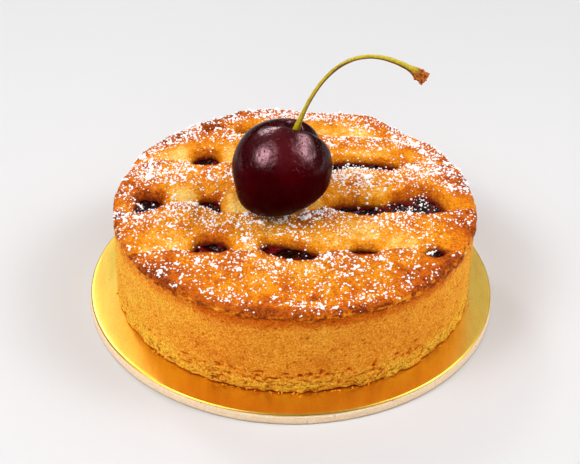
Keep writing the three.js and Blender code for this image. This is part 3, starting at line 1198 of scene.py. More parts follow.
@dataclass
class Relief:
    """The uneven top of the pie: strips, creases, openings, rim, browning and sugar."""

    middle: Point2
    lip_radius: float
    lip_height: float = 31.0
    creases: tuple[Crease, ...] = (LOWER_CREASE, MIDDLE_CREASE, UPPER_CREASE, REAR_CREASE)
    front_crease: Crease = FRONT_CREASE
    front_end: float = -47.0
    rear_end: float = 49.5
    base: float = 31.2
    crown: float = 1.1
    crest_at: float = 0.6
    crest_fall: float = 0.4
    lip_round: float = 1.7
    rise_over: float = 0.4
    dip_between: float = 0.32
    rim: Point2 = (41.0, 49.5)
    lip: Point2 = (49.0, 51.5)
    crease_fade: Point2 = (45.5, 49.5)
    front_fade: Point2 = (47.5, 50.5)
    front_drop: float = 0.1
    rim_waves: tuple[Point3, ...] = ((0.225, 3, 1.1), (0.135, 7, 0.4))
    rim_rough: float = 0.22
    rough_lumps: Curve = ((0.3, 12.0), (0.16, 4.3), (0.15, 1.9), (0.08, 0.85))
    lip_lumps: Curve = ((0.22, 1.15),)
    rear_rim: Curve = (
        (10, 31.9), (14, 32.0), (27, 31.8), (38, 31.5), (46, 30.6), (55, 31.2), (64, 31.7), (71, 31.5),
        (76, 30.9), (81, 30.2), (92, 31.2), (107, 31.8), (121, 31.7), (130, 31.5), (137, 31.3), (145, 31.5),
        (152, 32.0), (160, 31.1), (172, 31.0),
    )
    rim_pulls: Curve = ((120, 0.0), (150, 0.1), (166, 0.5), (178, 0.5), (180, 0.45))
    filling_level: float = 29.2
    filling_lumps: Curve = ((0.34, 3.1), (0.16, 1.2))
    brown_span: Point2 = (0.05, 0.6)
    brown_rim_span: Point2 = (42, 50)
    sugar_span: Point2 = (0.15, 0.8)
    sugar_rim_span: Point2 = (40, 48)
    brown_base: float = 0.25
    brown_crest: float = 0.28
    brown_edge: float = 0.08
    brown_front_strip: float = 0.08
    brown_rim: float = 0.2
    brown_lip: float = 0.08
    brown_front_lip: float = 0.22
    brown_opening: float = 0.3
    sugar_on_rim: float = 0.16
    sugar_drift: float = 0.2
    sugar_clumping: float = 0.8
    sugar_limit: float = 0.55
    veil_share: float = 0.5
    noise: Noise = Noise(11)
    under: tuple[UnderRun, ...] = (
        UnderRun(-36, -32, -36.5, 11.5),
        UnderRun(-13, -12.5, -17, 11.5),
        UnderRun(12, 6.5, 5, 9),
        UnderRun(30.5, 32, 38, 12.5),
    )
    bumps: tuple[Patch, ...] = patches(
        (-30, -6, 5, 0.5), (-22, 36, 4, 0.5), (20, -15, 6, 0.4), (30, -27, 6, 0.4),
        (0, -35, 6, -0.6), (-41, 12, 5, 0.3), (43, 8, 4, 0.3), (-38, -19, 3, -0.5),
    )
    browned: tuple[Patch, ...] = patches(
        (-45, 3, 6, 0.36), (-41, 21, 3, 0.25), (-41, -28, 4, -0.3), (-20, -29, 7, 0.05),
        (-30, -36, 8, 0.04), (-12, -6, 4, 0.2), (6, -8, 5, 0.2), (41, -12, 5, 0.02),
        (39, -28, 6, -0.12), (-26, 42, 3, 0.4), (-35, 40, 4, 0.2), (30, 39, 5, 0.16),
        (-10, -48, 8, 0.2), (14, -49, 8, 0.16), (0, -42, 6, 0.18), (18, 34, 6, 0.1),
        (-35, 23.5, 6, -0.22), (-32, 3, 4, -0.3), (-12, -2, 6, -0.3), (3, -32.5, 5, -0.36),
        (-5, -17, 5, -0.2), (20, -13, 7, -0.26), (25, 5, 6, -0.16), (20, 26, 8, -0.2),
        (20, 41, 6, -0.24), (-15, -38, 4, 0.04), (33, -15, 5, 0.12), (-20, 26, 5, -0.14),
        (6.5, -43.5, 1.6, 0.5),
    )
    sugar_by_strip: tuple[float, ...] = (0.06, 0.16, 0.19, 0.09, 0.06)
    sugar_in_front: tuple[float, ...] = (0.08, 0.04, 0.02, 0.03, 0.03)
    dusted: tuple[Patch, ...] = patches(
        (-32, -4, 5, 0.2), (-46, -5, 6, 0.12), (-22, -9, 6, 0.08), (-30, 12, 5, 0.05),
        (-24, -14, 6, 0.06), (-20, 12, 4, 0.1), (-37, 13, 5, 0.14), (-41, 20, 5, 0.16),
        (-36, 28, 5, -0.14), (-52, 12, 5, -0.2), (-12, 44, 5, -0.18),
        (-28, 44, 4, 0.26), (31, 45, 6, 0.24), (-4, 51, 9, 0.25), (12, 51, 6, 0.2),
        (-20, 36, 4, 0.1), (20, 37, 5, 0.14), (37, 18, 6, 0.2), (36, 34, 6, 0.14),
        (18, 18, 6, 0.3), (12, 21, 4, 0.16), (28, 12, 6, 0.06), (36, 27, 3.5, -0.12),
        (12, 42, 5, -0.1), (37, 3, 4, 0.18), (28, -3, 4, 0.2), (12, -8, 6, 0.06),
        (-12, -21, 3.5, 0.3), (12, -28, 4, 0.24), (-4, -30, 4, 0.04), (35, -17, 3.5, 0.1),
        (24, -43, 7, 0.12), (-18, -43, 5, 0.08), (2, -49, 5, 0.1), (-42, -28, 4, 0.08),
        (-20, -18, 5, -0.08), (46, -12, 6, -0.12), (44, 12, 5, -0.06), (46, -28, 5, -0.08),
        (-20, 20, 4, -0.2), (-44, 4, 3, -0.1), (50, -1, 6, -0.12), (-36, -4, 5, 0.1),
        (44, 28, 4, 0.24), (4, 44, 4, -0.2), (-20, -11, 4, -0.1), (24, -12, 6, -0.05),
        (-28, -44, 4, -0.12), (-4, -51, 5, -0.14), (20, -36, 5, -0.06), (39, -28, 5, -0.08),
    )

    def polar(self, x: Array, y: Array) -> tuple[Array, Array]:
        """Each place's distance and angle from the pie's middle."""
        east, north = x - self.middle[0], y - self.middle[1]
        return np.hypot(east, north), np.arctan2(north, east)

    def spots(self, x: Array, y: Array, level: Level) -> Array:
        """The places as points in the noise, at one level of it."""
        return stack_points(x, y, np.full_like(x, level.value))

    def rim_height(self, angle: Array) -> Array:
        """Works out how high the rim is round the pie.

        Args:
            angle: the angles round the pie, in radians.

        Returns:
            The rim's height at each angle.
        """
        wave = sum(size * np.sin(times * angle + start) for size, times, start in self.rim_waves)
        uneven = self.rim_rough * self.noise.layers(circle(angle, RIM_WALK, 0), 5.0, 2).reshape(angle.shape)
        behind = smoothstep(0.05, 0.3, np.sin(angle))
        front_height = self.lip_height - self.front_drop + wave
        height = mix(front_height, smooth_line(self.rear_rim, np.degrees(angle)), behind)
        return height + uneven * (1 - 0.5 * behind)

    def rim_pull(self, angle: Array) -> Array:
        """How far the rim and the top of the wall are drawn in at each angle."""
        from_right = np.abs(np.arctan2(np.sin(angle), np.cos(angle)))
        return smooth_line(self.rim_pulls, np.degrees(from_right))

    def under_share(self, x: Array, y: Array, edge: float = 3.0) -> Array:
        """How much each place lies over a strip underneath."""
        return np.max([run.inside(x, y, edge) for run in self.under], axis=0)

    def crown_share(self, y: Array, front: Array, rear: Array) -> Array:
        """Works out the rounded profile of one strip.

        Args:
            y: the places' y.
            front: the y of the strip's front side at each place.
            rear: the y of its rear edge.

        Returns:
            The share of the full crown.
        """
        across = np.clip((y - front) / (rear - front), 0, 1)
        climb = np.sin(math.pi / 2 * np.minimum(across / self.crest_at, 1))
        fall = np.clip((across - self.crest_at) / (1 - self.crest_at), 0, 1)
        return climb - self.crest_fall * fall**2

    def strip_lines(self, x: Array) -> list[Array]:
        """The front of the pie, the four rear edges and the back of the pie at each x."""
        edges = [smooth_line(crease.edge, x) for crease in self.creases]
        return [np.full_like(x, self.front_end), *edges, np.full_like(x, self.rear_end)]

    def across_strip(self, x: Array, y: Array) -> Array:
        """Works out how far each place is from the front of its strip to its rear edge.

        Args:
            x, y: the places.

        Returns:
            The share of the strip's width, from 0 to 1.
        """
        lines = self.strip_lines(x)
        share = np.zeros_like(x)
        for front, rear in zip(lines[:-1], lines[1:]):
            share = np.where((y >= front) & (y < rear), (y - front) / (rear - front), share)
        return np.where(y >= lines[-1], 1.0, share)

    def height(self, x: Array, y: Array) -> Array:
        """Works out the pastry's surface, without the filling.

        Args:
            x, y: the places.

        Returns:
            The height at each place.
        """
        radius, angle = self.polar(x, y)
        lines = self.strip_lines(x)
        share, *crowns = [self.crown_share(y, front, rear) for front, rear in zip(lines[:-1], lines[1:])]
        for line, behind in zip(lines[1:-1], crowns):
            share = mix(share, behind, smoothstep(-0.5, 0.5, y - line))
        lift = mix(-self.dip_between, self.rise_over, self.under_share(x, y))
        strips = self.base + self.crown * share + lift
        top = mix(strips, self.rim_height(angle), smoothstep(*self.rim, radius))
        fade = 1 - smoothstep(*self.crease_fade, radius)
        drop = fade * np.max([crease.sunk(x, y) for crease in self.creases], axis=0)
        front_step = self.front_crease.sunk(x, y) * (1 - smoothstep(*self.front_fade, radius))
        top = top - drop - front_step + fade * sum(bump.at(x, y) for bump in self.bumps)
        spots = self.spots(x, y, Level.SURFACE)
        rough = self.noise.lumps(spots, self.rough_lumps).reshape(x.shape)
        crumb = self.noise.lumps(spots, self.lip_lumps).reshape(x.shape)
        return top + rough + crumb * smoothstep(*self.lip, radius)

    def filling_height(self, x: Array, y: Array) -> Array:
        """The lumpy surface of the filling where it shows."""
        lumps = self.noise.lumps(self.spots(x, y, Level.FILLING), self.filling_lumps)
        return self.filling_level + lumps.reshape(x.shape)

    def open_share(self, x: Array, y: Array, margin: float = 0.6) -> Array:
        """How much the filling is open to the air at each place."""
        return np.max([crease.opened(x, y, margin) for crease in self.creases], axis=0)

    def surface(self, x: Array, y: Array) -> Array:
        """Works out what lies uppermost, pastry or filling, out to the lip.

        Args:
            x, y: the places.

        Returns:
            The height of the visible top.
        """
        radius, angle = self.polar(x, y)
        radius = radius + self.rim_pull(angle)
        over = np.clip(radius - (self.lip_radius - self.lip_round), 0, self.lip_round * 0.98)
        pastry = self.height(x, y) - (self.lip_round - np.sqrt(self.lip_round**2 - over**2))
        filling = np.where(self.open_share(x, y, 0.2) > 0.6, self.filling_height(x, y), 0)
        return np.maximum(pastry, filling)

    def bake(self, x: Array, y: Array) -> Array:
        """Works out how brown the pastry is.

        Args:
            x, y: the places.

        Returns:
            The browning, from 0 for pale to 1 for dark.
        """
        radius, angle = self.polar(x, y)
        front = smoothstep(0.2, 0.8, -np.sin(angle))
        edges = sum(bell(crease.offset(x, y) + 1.0, 1.2) for crease in self.creases)
        brown = self.brown_base + self.brown_crest * smoothstep(*self.brown_span, self.across_strip(x, y))
        brown = brown + self.brown_edge * edges + self.brown_front_strip * (y < self.strip_lines(x)[1])
        brown = brown + self.brown_rim * smoothstep(*self.brown_rim_span, radius)
        brown = brown + mix(self.brown_lip, self.brown_front_lip, front) * smoothstep(*self.lip, radius)
        brown = brown + self.brown_opening * self.open_share(x, y, 3.2)
        brown = brown + sum(patch.at(x, y) for patch in self.browned)
        spots = self.spots(x, y, Level.BROWNING)
        uneven = 0.12 * self.noise.layers(spots, 8.0, 2) + 0.17 * self.noise.layers(spots, 2.4, 3)
        return np.clip(brown + uneven.reshape(x.shape), 0.02, 0.98)

    def stain(self, x: Array, y: Array, height: Array) -> Array:
        """How far the filling has soaked into the pastry beside it, by how high the pastry is there."""
        above = smoothstep(self.filling_level - 0.6, self.filling_level + 2.3, height)
        return self.open_share(x, y, 3.0) * (1 - above)

    def dust(self, x: Array, y: Array) -> Array:
        """Works out how much of the top the icing sugar covers.

        Args:
            x, y: the places.

        Returns:
            The share that is white, from 0 to about 0.5.
        """
        radius, angle = self.polar(x, y)
        band = sum((y >= line).astype(int) for line in self.strip_lines(x)[1:-1])
        start, crest = np.array(self.sugar_in_front)[band], np.array(self.sugar_by_strip)[band]
        back = smoothstep(-0.3, 0.5, np.sin(angle))
        off_lip = smoothstep(self.lip_radius - 1.4, self.lip_radius, radius) * (1 - back)
        drifts = sum(bell(crease.offset(x, y) + 0.45, 0.6) for crease in self.creases)
        cover = start + crest * smoothstep(*self.sugar_span, self.across_strip(x, y))
        cover = cover + self.sugar_on_rim * back * smoothstep(*self.sugar_rim_span, radius)
        cover = cover * (1 - 0.9 * off_lip)
        cover = cover + self.sugar_drift * drifts * smoothstep(-12, 10, y + 0.2 * np.abs(x))
        cover = cover * (1 - 0.7 * self.open_share(x, y, 0.8)) + sum(spot.at(x, y) for spot in self.dusted)
        clumpy = self.noise.layers(self.spots(x, y, Level.SUGAR), 4.5, 3).reshape(x.shape)
        return np.clip(cover * (1 + self.sugar_clumping * clumpy), 0.0, self.sugar_limit)

    def marks(self, x: Array, y: Array, z: Array) -> Marks:
        """The browning, stain and sugar veil that the pastry's finish reads at each point."""
        veil = self.veil_share * self.dust(x, y)
        return {"bake": self.bake(x, y), "stain": self.stain(x, y, z), "dust": veil}


@dataclass
class CrestGrid:
    """A grid of points over the top whose rows follow the strips' rear edges."""

    relief: Relief
    left: float = -47.5
    right: float = 48.5
    step: float = 0.28
    band_rows: tuple[int, ...] = (76, 70, 80, 66, 40)
    gather: float = 0.6

    def rows(self) -> tuple[Array, Array]:
        """Lays out the grid.

        Returns:
            The x and the y of every grid point, one row of points for each row of the grid.
        """
        columns = np.arange(self.left, self.right + self.step, self.step)
        lines = self.relief.strip_lines(columns)
        rows = []
        for count, front, rear in zip(self.band_rows, lines[:-1], lines[1:]):
            for share in np.arange(count) / count:
                gathered = self.gather * math.sin(2 * math.pi * share) / (2 * math.pi)
                rows.append(mix(front, rear, share - gathered))
        y = np.array([*rows, lines[-1]])
        return np.broadcast_to(columns, y.shape), y


@dataclass
class Lattice:
    """The strips over and under, cut from the relief as closed slabs."""

    relief: Relief
    grid: CrestGrid
    reach: float = 47.0
    bed: float = 28.6
    under_bed: float = 28.3
    under_top: float = 29.8
    opening_below: float = 28.75
    saddle: float = 3.4
    tuck: float = 0.3
    tuck_from: float = 46.7
    crisp: float = 50.0

    def cells(self) -> Marks:
        """Works out which strip each grid cell belongs to.

        Returns:
            The mask of cells of each over strip and each under strip's two parts.
        """
        x, y = self.grid.rows()
        cx, cy, cz = cell_middles(x, y, self.relief.height(x, y))
        radius, _ = self.relief.polar(cx, cy)
        open_now = (cz < self.opening_below) & (self.relief.open_share(cx, cy) > 0.2)
        solid = (radius < self.reach) & ~open_now
        saddle = np.zeros_like(solid)
        for crease in self.relief.creases:
            behind = crease.offset(cx, cy)
            saddle |= (behind > 0.05) & (behind < self.saddle)
        saddle &= solid
        lines = self.relief.strip_lines(cx)
        masks, taken = {}, np.zeros_like(solid)
        for k, run in enumerate(self.relief.under, 1):
            inside = np.abs(cx - run.centre(cy)) < run.width / 2
            masks[f"seen_{k}"] = inside & saddle
            masks[f"whole_{k}"] = inside & solid & (radius < self.reach - 0.5)
            taken |= masks[f"seen_{k}"]
        for k in range(5):
            band = (cy >= lines[k]) & (cy < lines[k + 1])
            masks[f"over_{5 - k}"] = band & solid & ~taken
        return masks

    def lay(self, name: str, slot: str, node: str, cut: Slab, marks: Marks, material: Material) -> None:
        """Makes one strip and dresses it.

        Args:
            name: the piece's name.
            slot: the record's material slot.
            node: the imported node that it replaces.
            cut: the strip's points and faces, and the grid number of each point.
            marks: the marks over the whole grid.
            material: the glazed pastry.
        """
        points, faces, source = cut
        values = {mark: over_grid.ravel()[source] for mark, over_grid in marks.items()}
        settle(make_piece(name, points, [faces], values, self.crisp), material, slot, node)

    def build(self, material: Material) -> None:
        """Builds and dresses every strip.

        Args:
            material: the glazed pastry.
        """
        x, y = self.grid.rows()
        radius, _ = self.relief.polar(x, y)
        top = self.relief.height(x, y) - self.tuck * np.clip(radius - self.tuck_from, 0, None)
        carried = self.relief.under_share(x, y, 1.0)
        marks, masks = self.relief.marks(x, y, top), self.cells()
        bed = np.minimum(mix(self.bed, self.under_top + 0.1, carried), top - 0.15)
        for k in range(1, 6):
            cut = slab(masks[f"over_{k}"], x, y, top, bed)
            self.lay(f"over_strip_{k}", "glazed_lattice", f"lattice_over_{k}", cut, marks, material)
        for k in range(1, 5):
            seen = np.zeros_like(top, bool)
            for down, right in product((0, 1), repeat=2):
                rows = slice(down, down + top.shape[0] - 1)
                columns = slice(right, right + top.shape[1] - 1)
                seen[rows, columns] |= masks[f"seen_{k}"]
            upper = np.where(seen, top, np.minimum(self.under_top, top - 0.2))
            whole = masks[f"whole_{k}"] | masks[f"seen_{k}"]
            cut = slab(whole, x, y, upper, np.minimum(self.under_bed, upper - 0.2))
            self.lay(f"under_strip_{k}", "under_lattice", f"lattice_under_{k}", cut, marks, material)


@dataclass
class Filling:
    """The dark filling, which shows only in the openings."""

    relief: Relief
    floor: float = 8.6
    reach: float = 46.9
    rest: float = 28.2
    step: float = 0.56

    def build(self, material: Material) -> None:
        """Builds and dresses the filling.

        Args:
            material: the wet filling finish.
        """
        span = np.arange(-self.reach, self.reach + self.step, self.step)
        x, y = np.meshgrid(span + self.relief.middle[0], span + self.relief.middle[1])
        share = self.relief.open_share(x, y, 0.9)
        top = mix(self.rest, self.relief.filling_height(x, y), smoothstep(0.1, 0.6, share))
        mask = self.relief.polar(*cell_middles(x, y))[0] < self.reach
        points, faces, _ = slab(mask, x, y, top, np.full_like(top, self.floor))
        piece = make_piece("cherry_filling_inside", points, [faces], sharp=60)
        settle(piece, material, "cherry_filling", "cherry_filling")


# The shell


@dataclass(frozen=True)
class Pit:
    """A small hole in the dry side of the shell."""

    along: float
    height: float
    width: float
    tall: float
    depth: float


@dataclass
class CrustShell:
    """The deep shortcrust shell and the browned rim that the lid is sealed to."""

    relief: Relief
    foot_radius: float
    top_radius: float
    foot: float
    columns: int = 900
    wall_rows: int = 74
    wall_top: float = 29.2
    foot_round: float = 0.6
    ring_inner: float = 46.3
    ring_rows: int = 20
    inner_radius: float = 48.0
    floor: float = 8.3
    seal_width: float = 2.2
    groove: float = 0.35
    foot_wear: float = 0.35
    swell: Curve = ((0.26, 3.6), (0.2, 11.0))
    droop: Curve = ((0.35, 4.5), (0.42, 1.5))
    lip_thickness: float = 0.45
    tuck: float = 0.3
    tuck_from: float = 46.9
    tail_height: float = 28.6
    wall_lumps: Curve = ((0.16, 14.0), (0.1, 5.0), (0.06, 1.3), (0.05, 0.65))
    crumb: Point2 = (0.12, 1.7)
    pit_count: int = 560
    pit_length: float = 1.3
    pit_slant: float = 0.12
    low_pit_share: float = 0.6
    low_pits: Point2 = (1.5, 8)
    high_pits: Point2 = (5, 25)
    pit_size: Point2 = (0.2, 0.42)
    pit_depth: Point2 = (0.15, 0.5)
    crack_count: int = 150
    crack_width: Point2 = (0.6, 1.7)
    crack_size: Point2 = (0.2, 0.34)
    crack_depth: Point2 = (0.25, 0.55)
    brown: float = 0.43
    # Painted shade in the pits and at the foot, browning with painted shade under the lip, and painted light
    # on the sides and near the foot:
    pit_shade: float = 0.8
    darker_under_lip: float = 0.3
    foot_shadow_line: float = 0.8
    painted_light_left: float = 0.22
    painted_light_right: float = 0.14
    foil_bounce_light: float = 0.34
    painted_light_left_span: Point2 = (0.35, 0.95)
    painted_light_right_span: Point2 = (0.6, 0.98)
    darker_under_lip_from: float = 24.0
    noise: Noise = Noise(23)
    seed: int = 5

    def pits(self) -> list[Pit]:
        """Scatters small holes and flat cracks over the wall, more of them low down.

        Returns:
            The holes.
        """
        chance = np.random.default_rng(self.seed)
        around = 2 * math.pi * self.foot_radius
        found = []
        for _ in range(self.pit_count):
            low = chance.random() < self.low_pit_share
            height = self.foot + chance.uniform(*(self.low_pits if low else self.high_pits))
            size = chance.uniform(*self.pit_size) * (1.2 if low else 0.9)
            depth = chance.uniform(*self.pit_depth) * (1.2 if low else 0.8)
            found.append(Pit(chance.uniform(0, around), height, size * self.pit_length, size, depth))
        for _ in range(self.crack_count):
            height = self.foot + 1.0 + abs(chance.normal(2.6, 2.0))
            wide, depth = chance.uniform(*self.crack_width), chance.uniform(*self.crack_depth)
            along, tall = chance.uniform(0, around), chance.uniform(*self.crack_size)
            found.append(Pit(along, height, wide, tall, depth))
        return found

    def wall_relief(self, angle: Array, height: Array) -> tuple[Array, Array]:
        """Works out how the wall stands in and out.

        Args:
            angle: the angle of each point.
            height: the height of each point.

        Returns:
            How far each point stands out, and how much of a hole it is in, from 0 to 1.
        """
        spots = circle(angle, self.foot_radius, height)
        low = 1 - smoothstep(self.foot + 2, self.foot + 8, height)
        crumb = self.noise.lumps(spots * np.array([1, 1, 1.9]), [self.crumb]).reshape(angle.shape)
        out = self.noise.lumps(spots, self.wall_lumps).reshape(angle.shape) + crumb * (0.3 + 0.35 * low)
        hole = np.zeros_like(out)
        step = 2 * math.pi * self.foot_radius / self.columns
        for pit in self.pits():
            reach = int(math.ceil(pit.width * 2 / step))
            beside = np.arange(-reach, reach + 1)
            near = (int(round(pit.along / step)) + beside) % self.columns
            slant = pit.height + self.pit_slant * beside * step
            dent = bell(beside * step, pit.width) * bell(height[:, near] - slant, pit.tall)
            out[:, near] -= pit.depth * dent
            hole[:, near] = np.maximum(hole[:, near], dent * min(1.0, pit.depth * 2.2))
        return out, hole

    def build_wall(self, material: Material) -> None:
        """Builds and dresses the wall, its floor and its inside.

        Args:
            material: the dry side finish.
        """
        start = self.foot + self.foot_round
        heights = np.linspace(start, self.wall_top, self.wall_rows)
        angle, height = np.meshgrid(full_turn(self.columns), heights)
        share = (height - start) / (self.wall_top - start)
        out, hole = self.wall_relief(angle, height)
        seal = self.groove * bell(height - self.wall_top, 1.1)
        pull = self.relief.rim_pull(angle) * share
        ragged = self.noise.at(stack_points(angle * RIM_WALK, 0, height), 2.1).reshape(angle.shape)
        worn = self.foot_wear * (1 - smoothstep(self.foot + 0.5, self.foot + 2.2, height)) * (0.6 + ragged)
        radius = mix(self.foot_radius, self.top_radius - 0.15, share) + out - seal - pull - worn
        rows, lowest = [(radius, height, hole)], radius[0]

        def level(reach: float, at_height: float) -> tuple[Array, Array, Array]:
            """A plain ring of points."""
            return np.full_like(lowest, reach), np.full_like(lowest, at_height), np.zeros_like(lowest)

        for turn in np.array([0.35, 0.7, 1.0]) * math.pi / 2:
            inward, down = self.foot_round * (1 - math.cos(turn)), self.foot_round * math.sin(turn)
            rows.insert(0, (lowest - inward, np.full_like(lowest, start - down), hole[0]))
        rows.insert(0, level(self.inner_radius, self.foot))
        rows.append(level(self.top_radius - self.seal_width, self.wall_top))
        rows.append(level(self.inner_radius, self.wall_top - 0.5))
        rows.append(level(self.inner_radius, self.floor))
        radius, height, hole = (np.concatenate([np.atleast_2d(row[k]) for row in rows]) for k in range(3))
        turns = np.broadcast_to(full_turn(self.columns), radius.shape)
        ends = np.array([[*self.relief.middle, self.foot], [*self.relief.middle, self.floor]])
        points = np.concatenate([circle(turns, radius, height, self.relief.middle), ends])
        marks = self.wall_marks(turns, height, hole)
        values = {name: np.append(mark.ravel(), [0.4, 0.4]) for name, mark in marks.items()}
        piece = make_piece("crust_wall", points, tube_faces(len(radius), self.columns), values, sharp=70)
        settle(piece, material, "shortcrust", "crust_shell")

    def wall_marks(self, angle: Array, height: Array, hole: Array) -> Marks:
        """Works out the wall's browning, with painted light and painted shade in it.

        Args:
            angle: the angle of each point.
            height: the height of each point.
            hole: how much of a hole each point is in.

        Returns:
            The marks that the finish reads.
        """
        spots = circle(angle, RIM_WALK, height * 1.3)
        uneven = 0.1 * self.noise.layers(spots + 70, 11.0, 2) + 0.07 * self.noise.layers(spots + 90, 3.0, 2)
        # The pits are darkened as painted shade.
        brown = self.brown + uneven.reshape(angle.shape) + self.pit_shade * hole
        # Paler on the left and on the right as painted light from the side lamps.
        brown = brown - self.painted_light_left * smoothstep(*self.painted_light_left_span, -np.cos(angle))
        brown = brown - self.painted_light_right * smoothstep(*self.painted_light_right_span, np.cos(angle))
        # Paler near the foot as painted light bounced up from the gold foil.
        brown = brown - self.foil_bounce_light * (1 - smoothstep(self.foot + 2, self.foot + 9, height))
        # Darker under the lip: browning, and painted shade of the lip's overhang.
        brown = brown + self.darker_under_lip * smoothstep(self.darker_under_lip_from, self.wall_top - 0.4, height)
        # A dark line right at the foot as a painted shadow where the wall meets the card.
        brown = brown + self.foot_shadow_line * (1 - smoothstep(self.foot + 0.1, self.foot + 0.5, height))
        crumbly = mix(1.0, 0.12, smoothstep(self.foot + 2.5, self.foot + 8, height))
        # The bake mark here carries this painted light and shade as well as the browning.
        return {"bake": np.clip(brown, 0, 1), "crumbly": crumbly}

    def build_rim(self, material: Material) -> None:
        """Builds and dresses the browned rim of the lid.

        Args:
            material: the glazed pastry.
        """
        lip, level_to = self.relief.lip_round, self.relief.rim[1]
        angles = full_turn(self.columns)
        spin = circle(angles, RIM_WALK + 0.5, 0)
        (small, size), (large, width) = self.swell
        swell = small * self.noise.layers(spin + 11, size, 2) + large * self.noise.at(spin + 31, width)
        swell = swell - self.relief.rim_pull(angles)
        (large, width), (small, size) = self.droop
        droop = large * self.noise.layers(spin + 51, width, 2) + small * self.noise.layers(spin + 61, size, 2)
        rows = []
        for reach in np.linspace(self.ring_inner, self.top_radius - lip, self.ring_rows):
            ease = max(0.0, (reach - level_to) / (self.top_radius - lip - level_to))
            rows.append((reach + swell * ease**2, np.zeros_like(angles)))
        for turn in np.radians(np.linspace(0, 90, 12)[1:]):
            out = self.top_radius - lip + lip * math.sin(turn)
            rows.append((out + swell, (lip + droop) * (1 - math.cos(turn))))
        for turn in np.radians([115, 140, 165]):
            out = self.top_radius - self.lip_thickness * (1 - math.sin(turn))
            rows.append((out + swell, lip + droop - self.lip_thickness * math.cos(turn)))
        for reach in (self.inner_radius + 0.6, self.ring_inner):
            rows.append((np.full_like(angles, reach), np.zeros_like(angles)))
        radius, sunk = (np.array([row[k] for row in rows]) for k in range(2))
        east, north = self.relief.middle
        x, y = east + radius * np.cos(angles), north + radius * np.sin(angles)
        z = self.relief.height(x, y) - self.tuck * np.clip(self.tuck_from - radius, 0, None) - sunk
        z[-2:] = [[self.wall_top - 0.35], [self.tail_height]]
        points = stack_points(x, y, z)
        first, last = np.arange(self.columns), (len(x) - 1) * self.columns + np.arange(self.columns)
        close = np.stack([last, np.roll(last, -1), np.roll(first, -1), first], axis=1)
        faces = [ring_faces(len(x), self.columns)[:, ::-1], close[:, ::-1]]
        marks = self.relief.marks(x, y, z)
        # The broken edge under the lip gets painted crevice shade.
        marks["bake"] = marks["bake"] + self.torn(points, self.relief.lip_height - z)
        settle(make_piece("crust_rim", points, faces, marks, sharp=60), material, "shortcrust", "crust_shell")

    def torn(self, points: Array, below: Array) -> Array:
        """How much browner or paler the broken edge is at each point, by how far below the lip it is; the
        browner blotches are painted crevice shade.
        """
        crevice_shade = self.noise.layers(points * np.array([1, 1, 2.0]) + 200, 1.3, 3).reshape(below.shape)
        return smoothstep(0.5, 1.4, below) * np.clip(0.02 + 1.1 * crevice_shade, -0.4, 0.7)


# The card


@dataclass
class CakeCard:
    """The thick round card, gold on top, that the pie is carried on."""

    radius: float
    thickness: float
    foil: float = 0.5
    inset: float = 0.3
    columns: int = 540
    board_rough: float = 0.09
    foil_rough: float = 0.015
    noise: Noise = Noise(41)

    def turned(self, name: str, radii: Array, heights: Array, marks: Marks, rough: float) -> Piece:
        """Turns a closed outline about the card's middle.

        Args:
            name: the piece's name.
            radii: the outline's distances from the middle, from the underside to the top.
            heights: its heights.
            marks: named values along the outline.
            rough: how ragged the edge is.

        Returns:
            The new object.
        """
        spread, radius = np.meshgrid(full_turn(self.columns), radii)
        height = np.broadcast_to(heights[:, None], radius.shape)
        ragged = self.noise.layers(circle(spread, self.radius, height * 2), 1.6, 3).reshape(radius.shape)
        radius = radius + rough * ragged * smoothstep(self.radius - 3, self.radius - 1, radius)
        ends = np.array([[0, 0, heights[0]], [0, 0, heights[-1]]])
        points = np.concatenate([circle(spread, radius, height), ends])
        values = {mark: np.append(np.repeat(along, self.columns), [0, 0]) for mark, along in marks.items()}
        return make_piece(name, points, tube_faces(len(radii), self.columns), values, sharp=40)

    def build(self, board: Material, foil: Material) -> None:
        """Builds and dresses the card and its foil.

        Args:
            board: the cut board finish.
            foil: the gold finish.
        """
        top = self.thickness - self.foil
        heights = np.array([0.0, 0.0, 0.12, 0.35, 0.8, 1.3, 1.7, 2.1, 2.4, top - 0.1, top, top])
        bulge = np.array([-4, -0.25, -0.05, 0, 0.0, -0.03, -0.06, -0.12, -0.2, -0.4, -0.6, -4])
        scuff = np.array([0.2, 0.9, 0.75, 0.25, 0, 0, 0, 0, 0, 0.1, 0.5, 0.2])
        piece = self.turned("card_board", self.radius + bulge, heights, {"scuff": scuff}, self.board_rough)
        settle(piece, board, "gold_card", "cake_card")
        edge = self.radius - self.inset
        radii = edge + np.array([-6, -0.5, -0.08, 0, -0.03, -0.11, -0.25, -0.45, -0.68, -0.95, -3, -8])
        lift = self.foil * np.array([0, 0, 0.04, 0.16, 0.38, 0.6, 0.77, 0.9, 0.97, 1, 1, 1])
        piece = self.turned("card_foil", radii, top + lift, {}, self.foil_rough)
        settle(piece, foil, "gold_card", "cake_card")


# The cherry


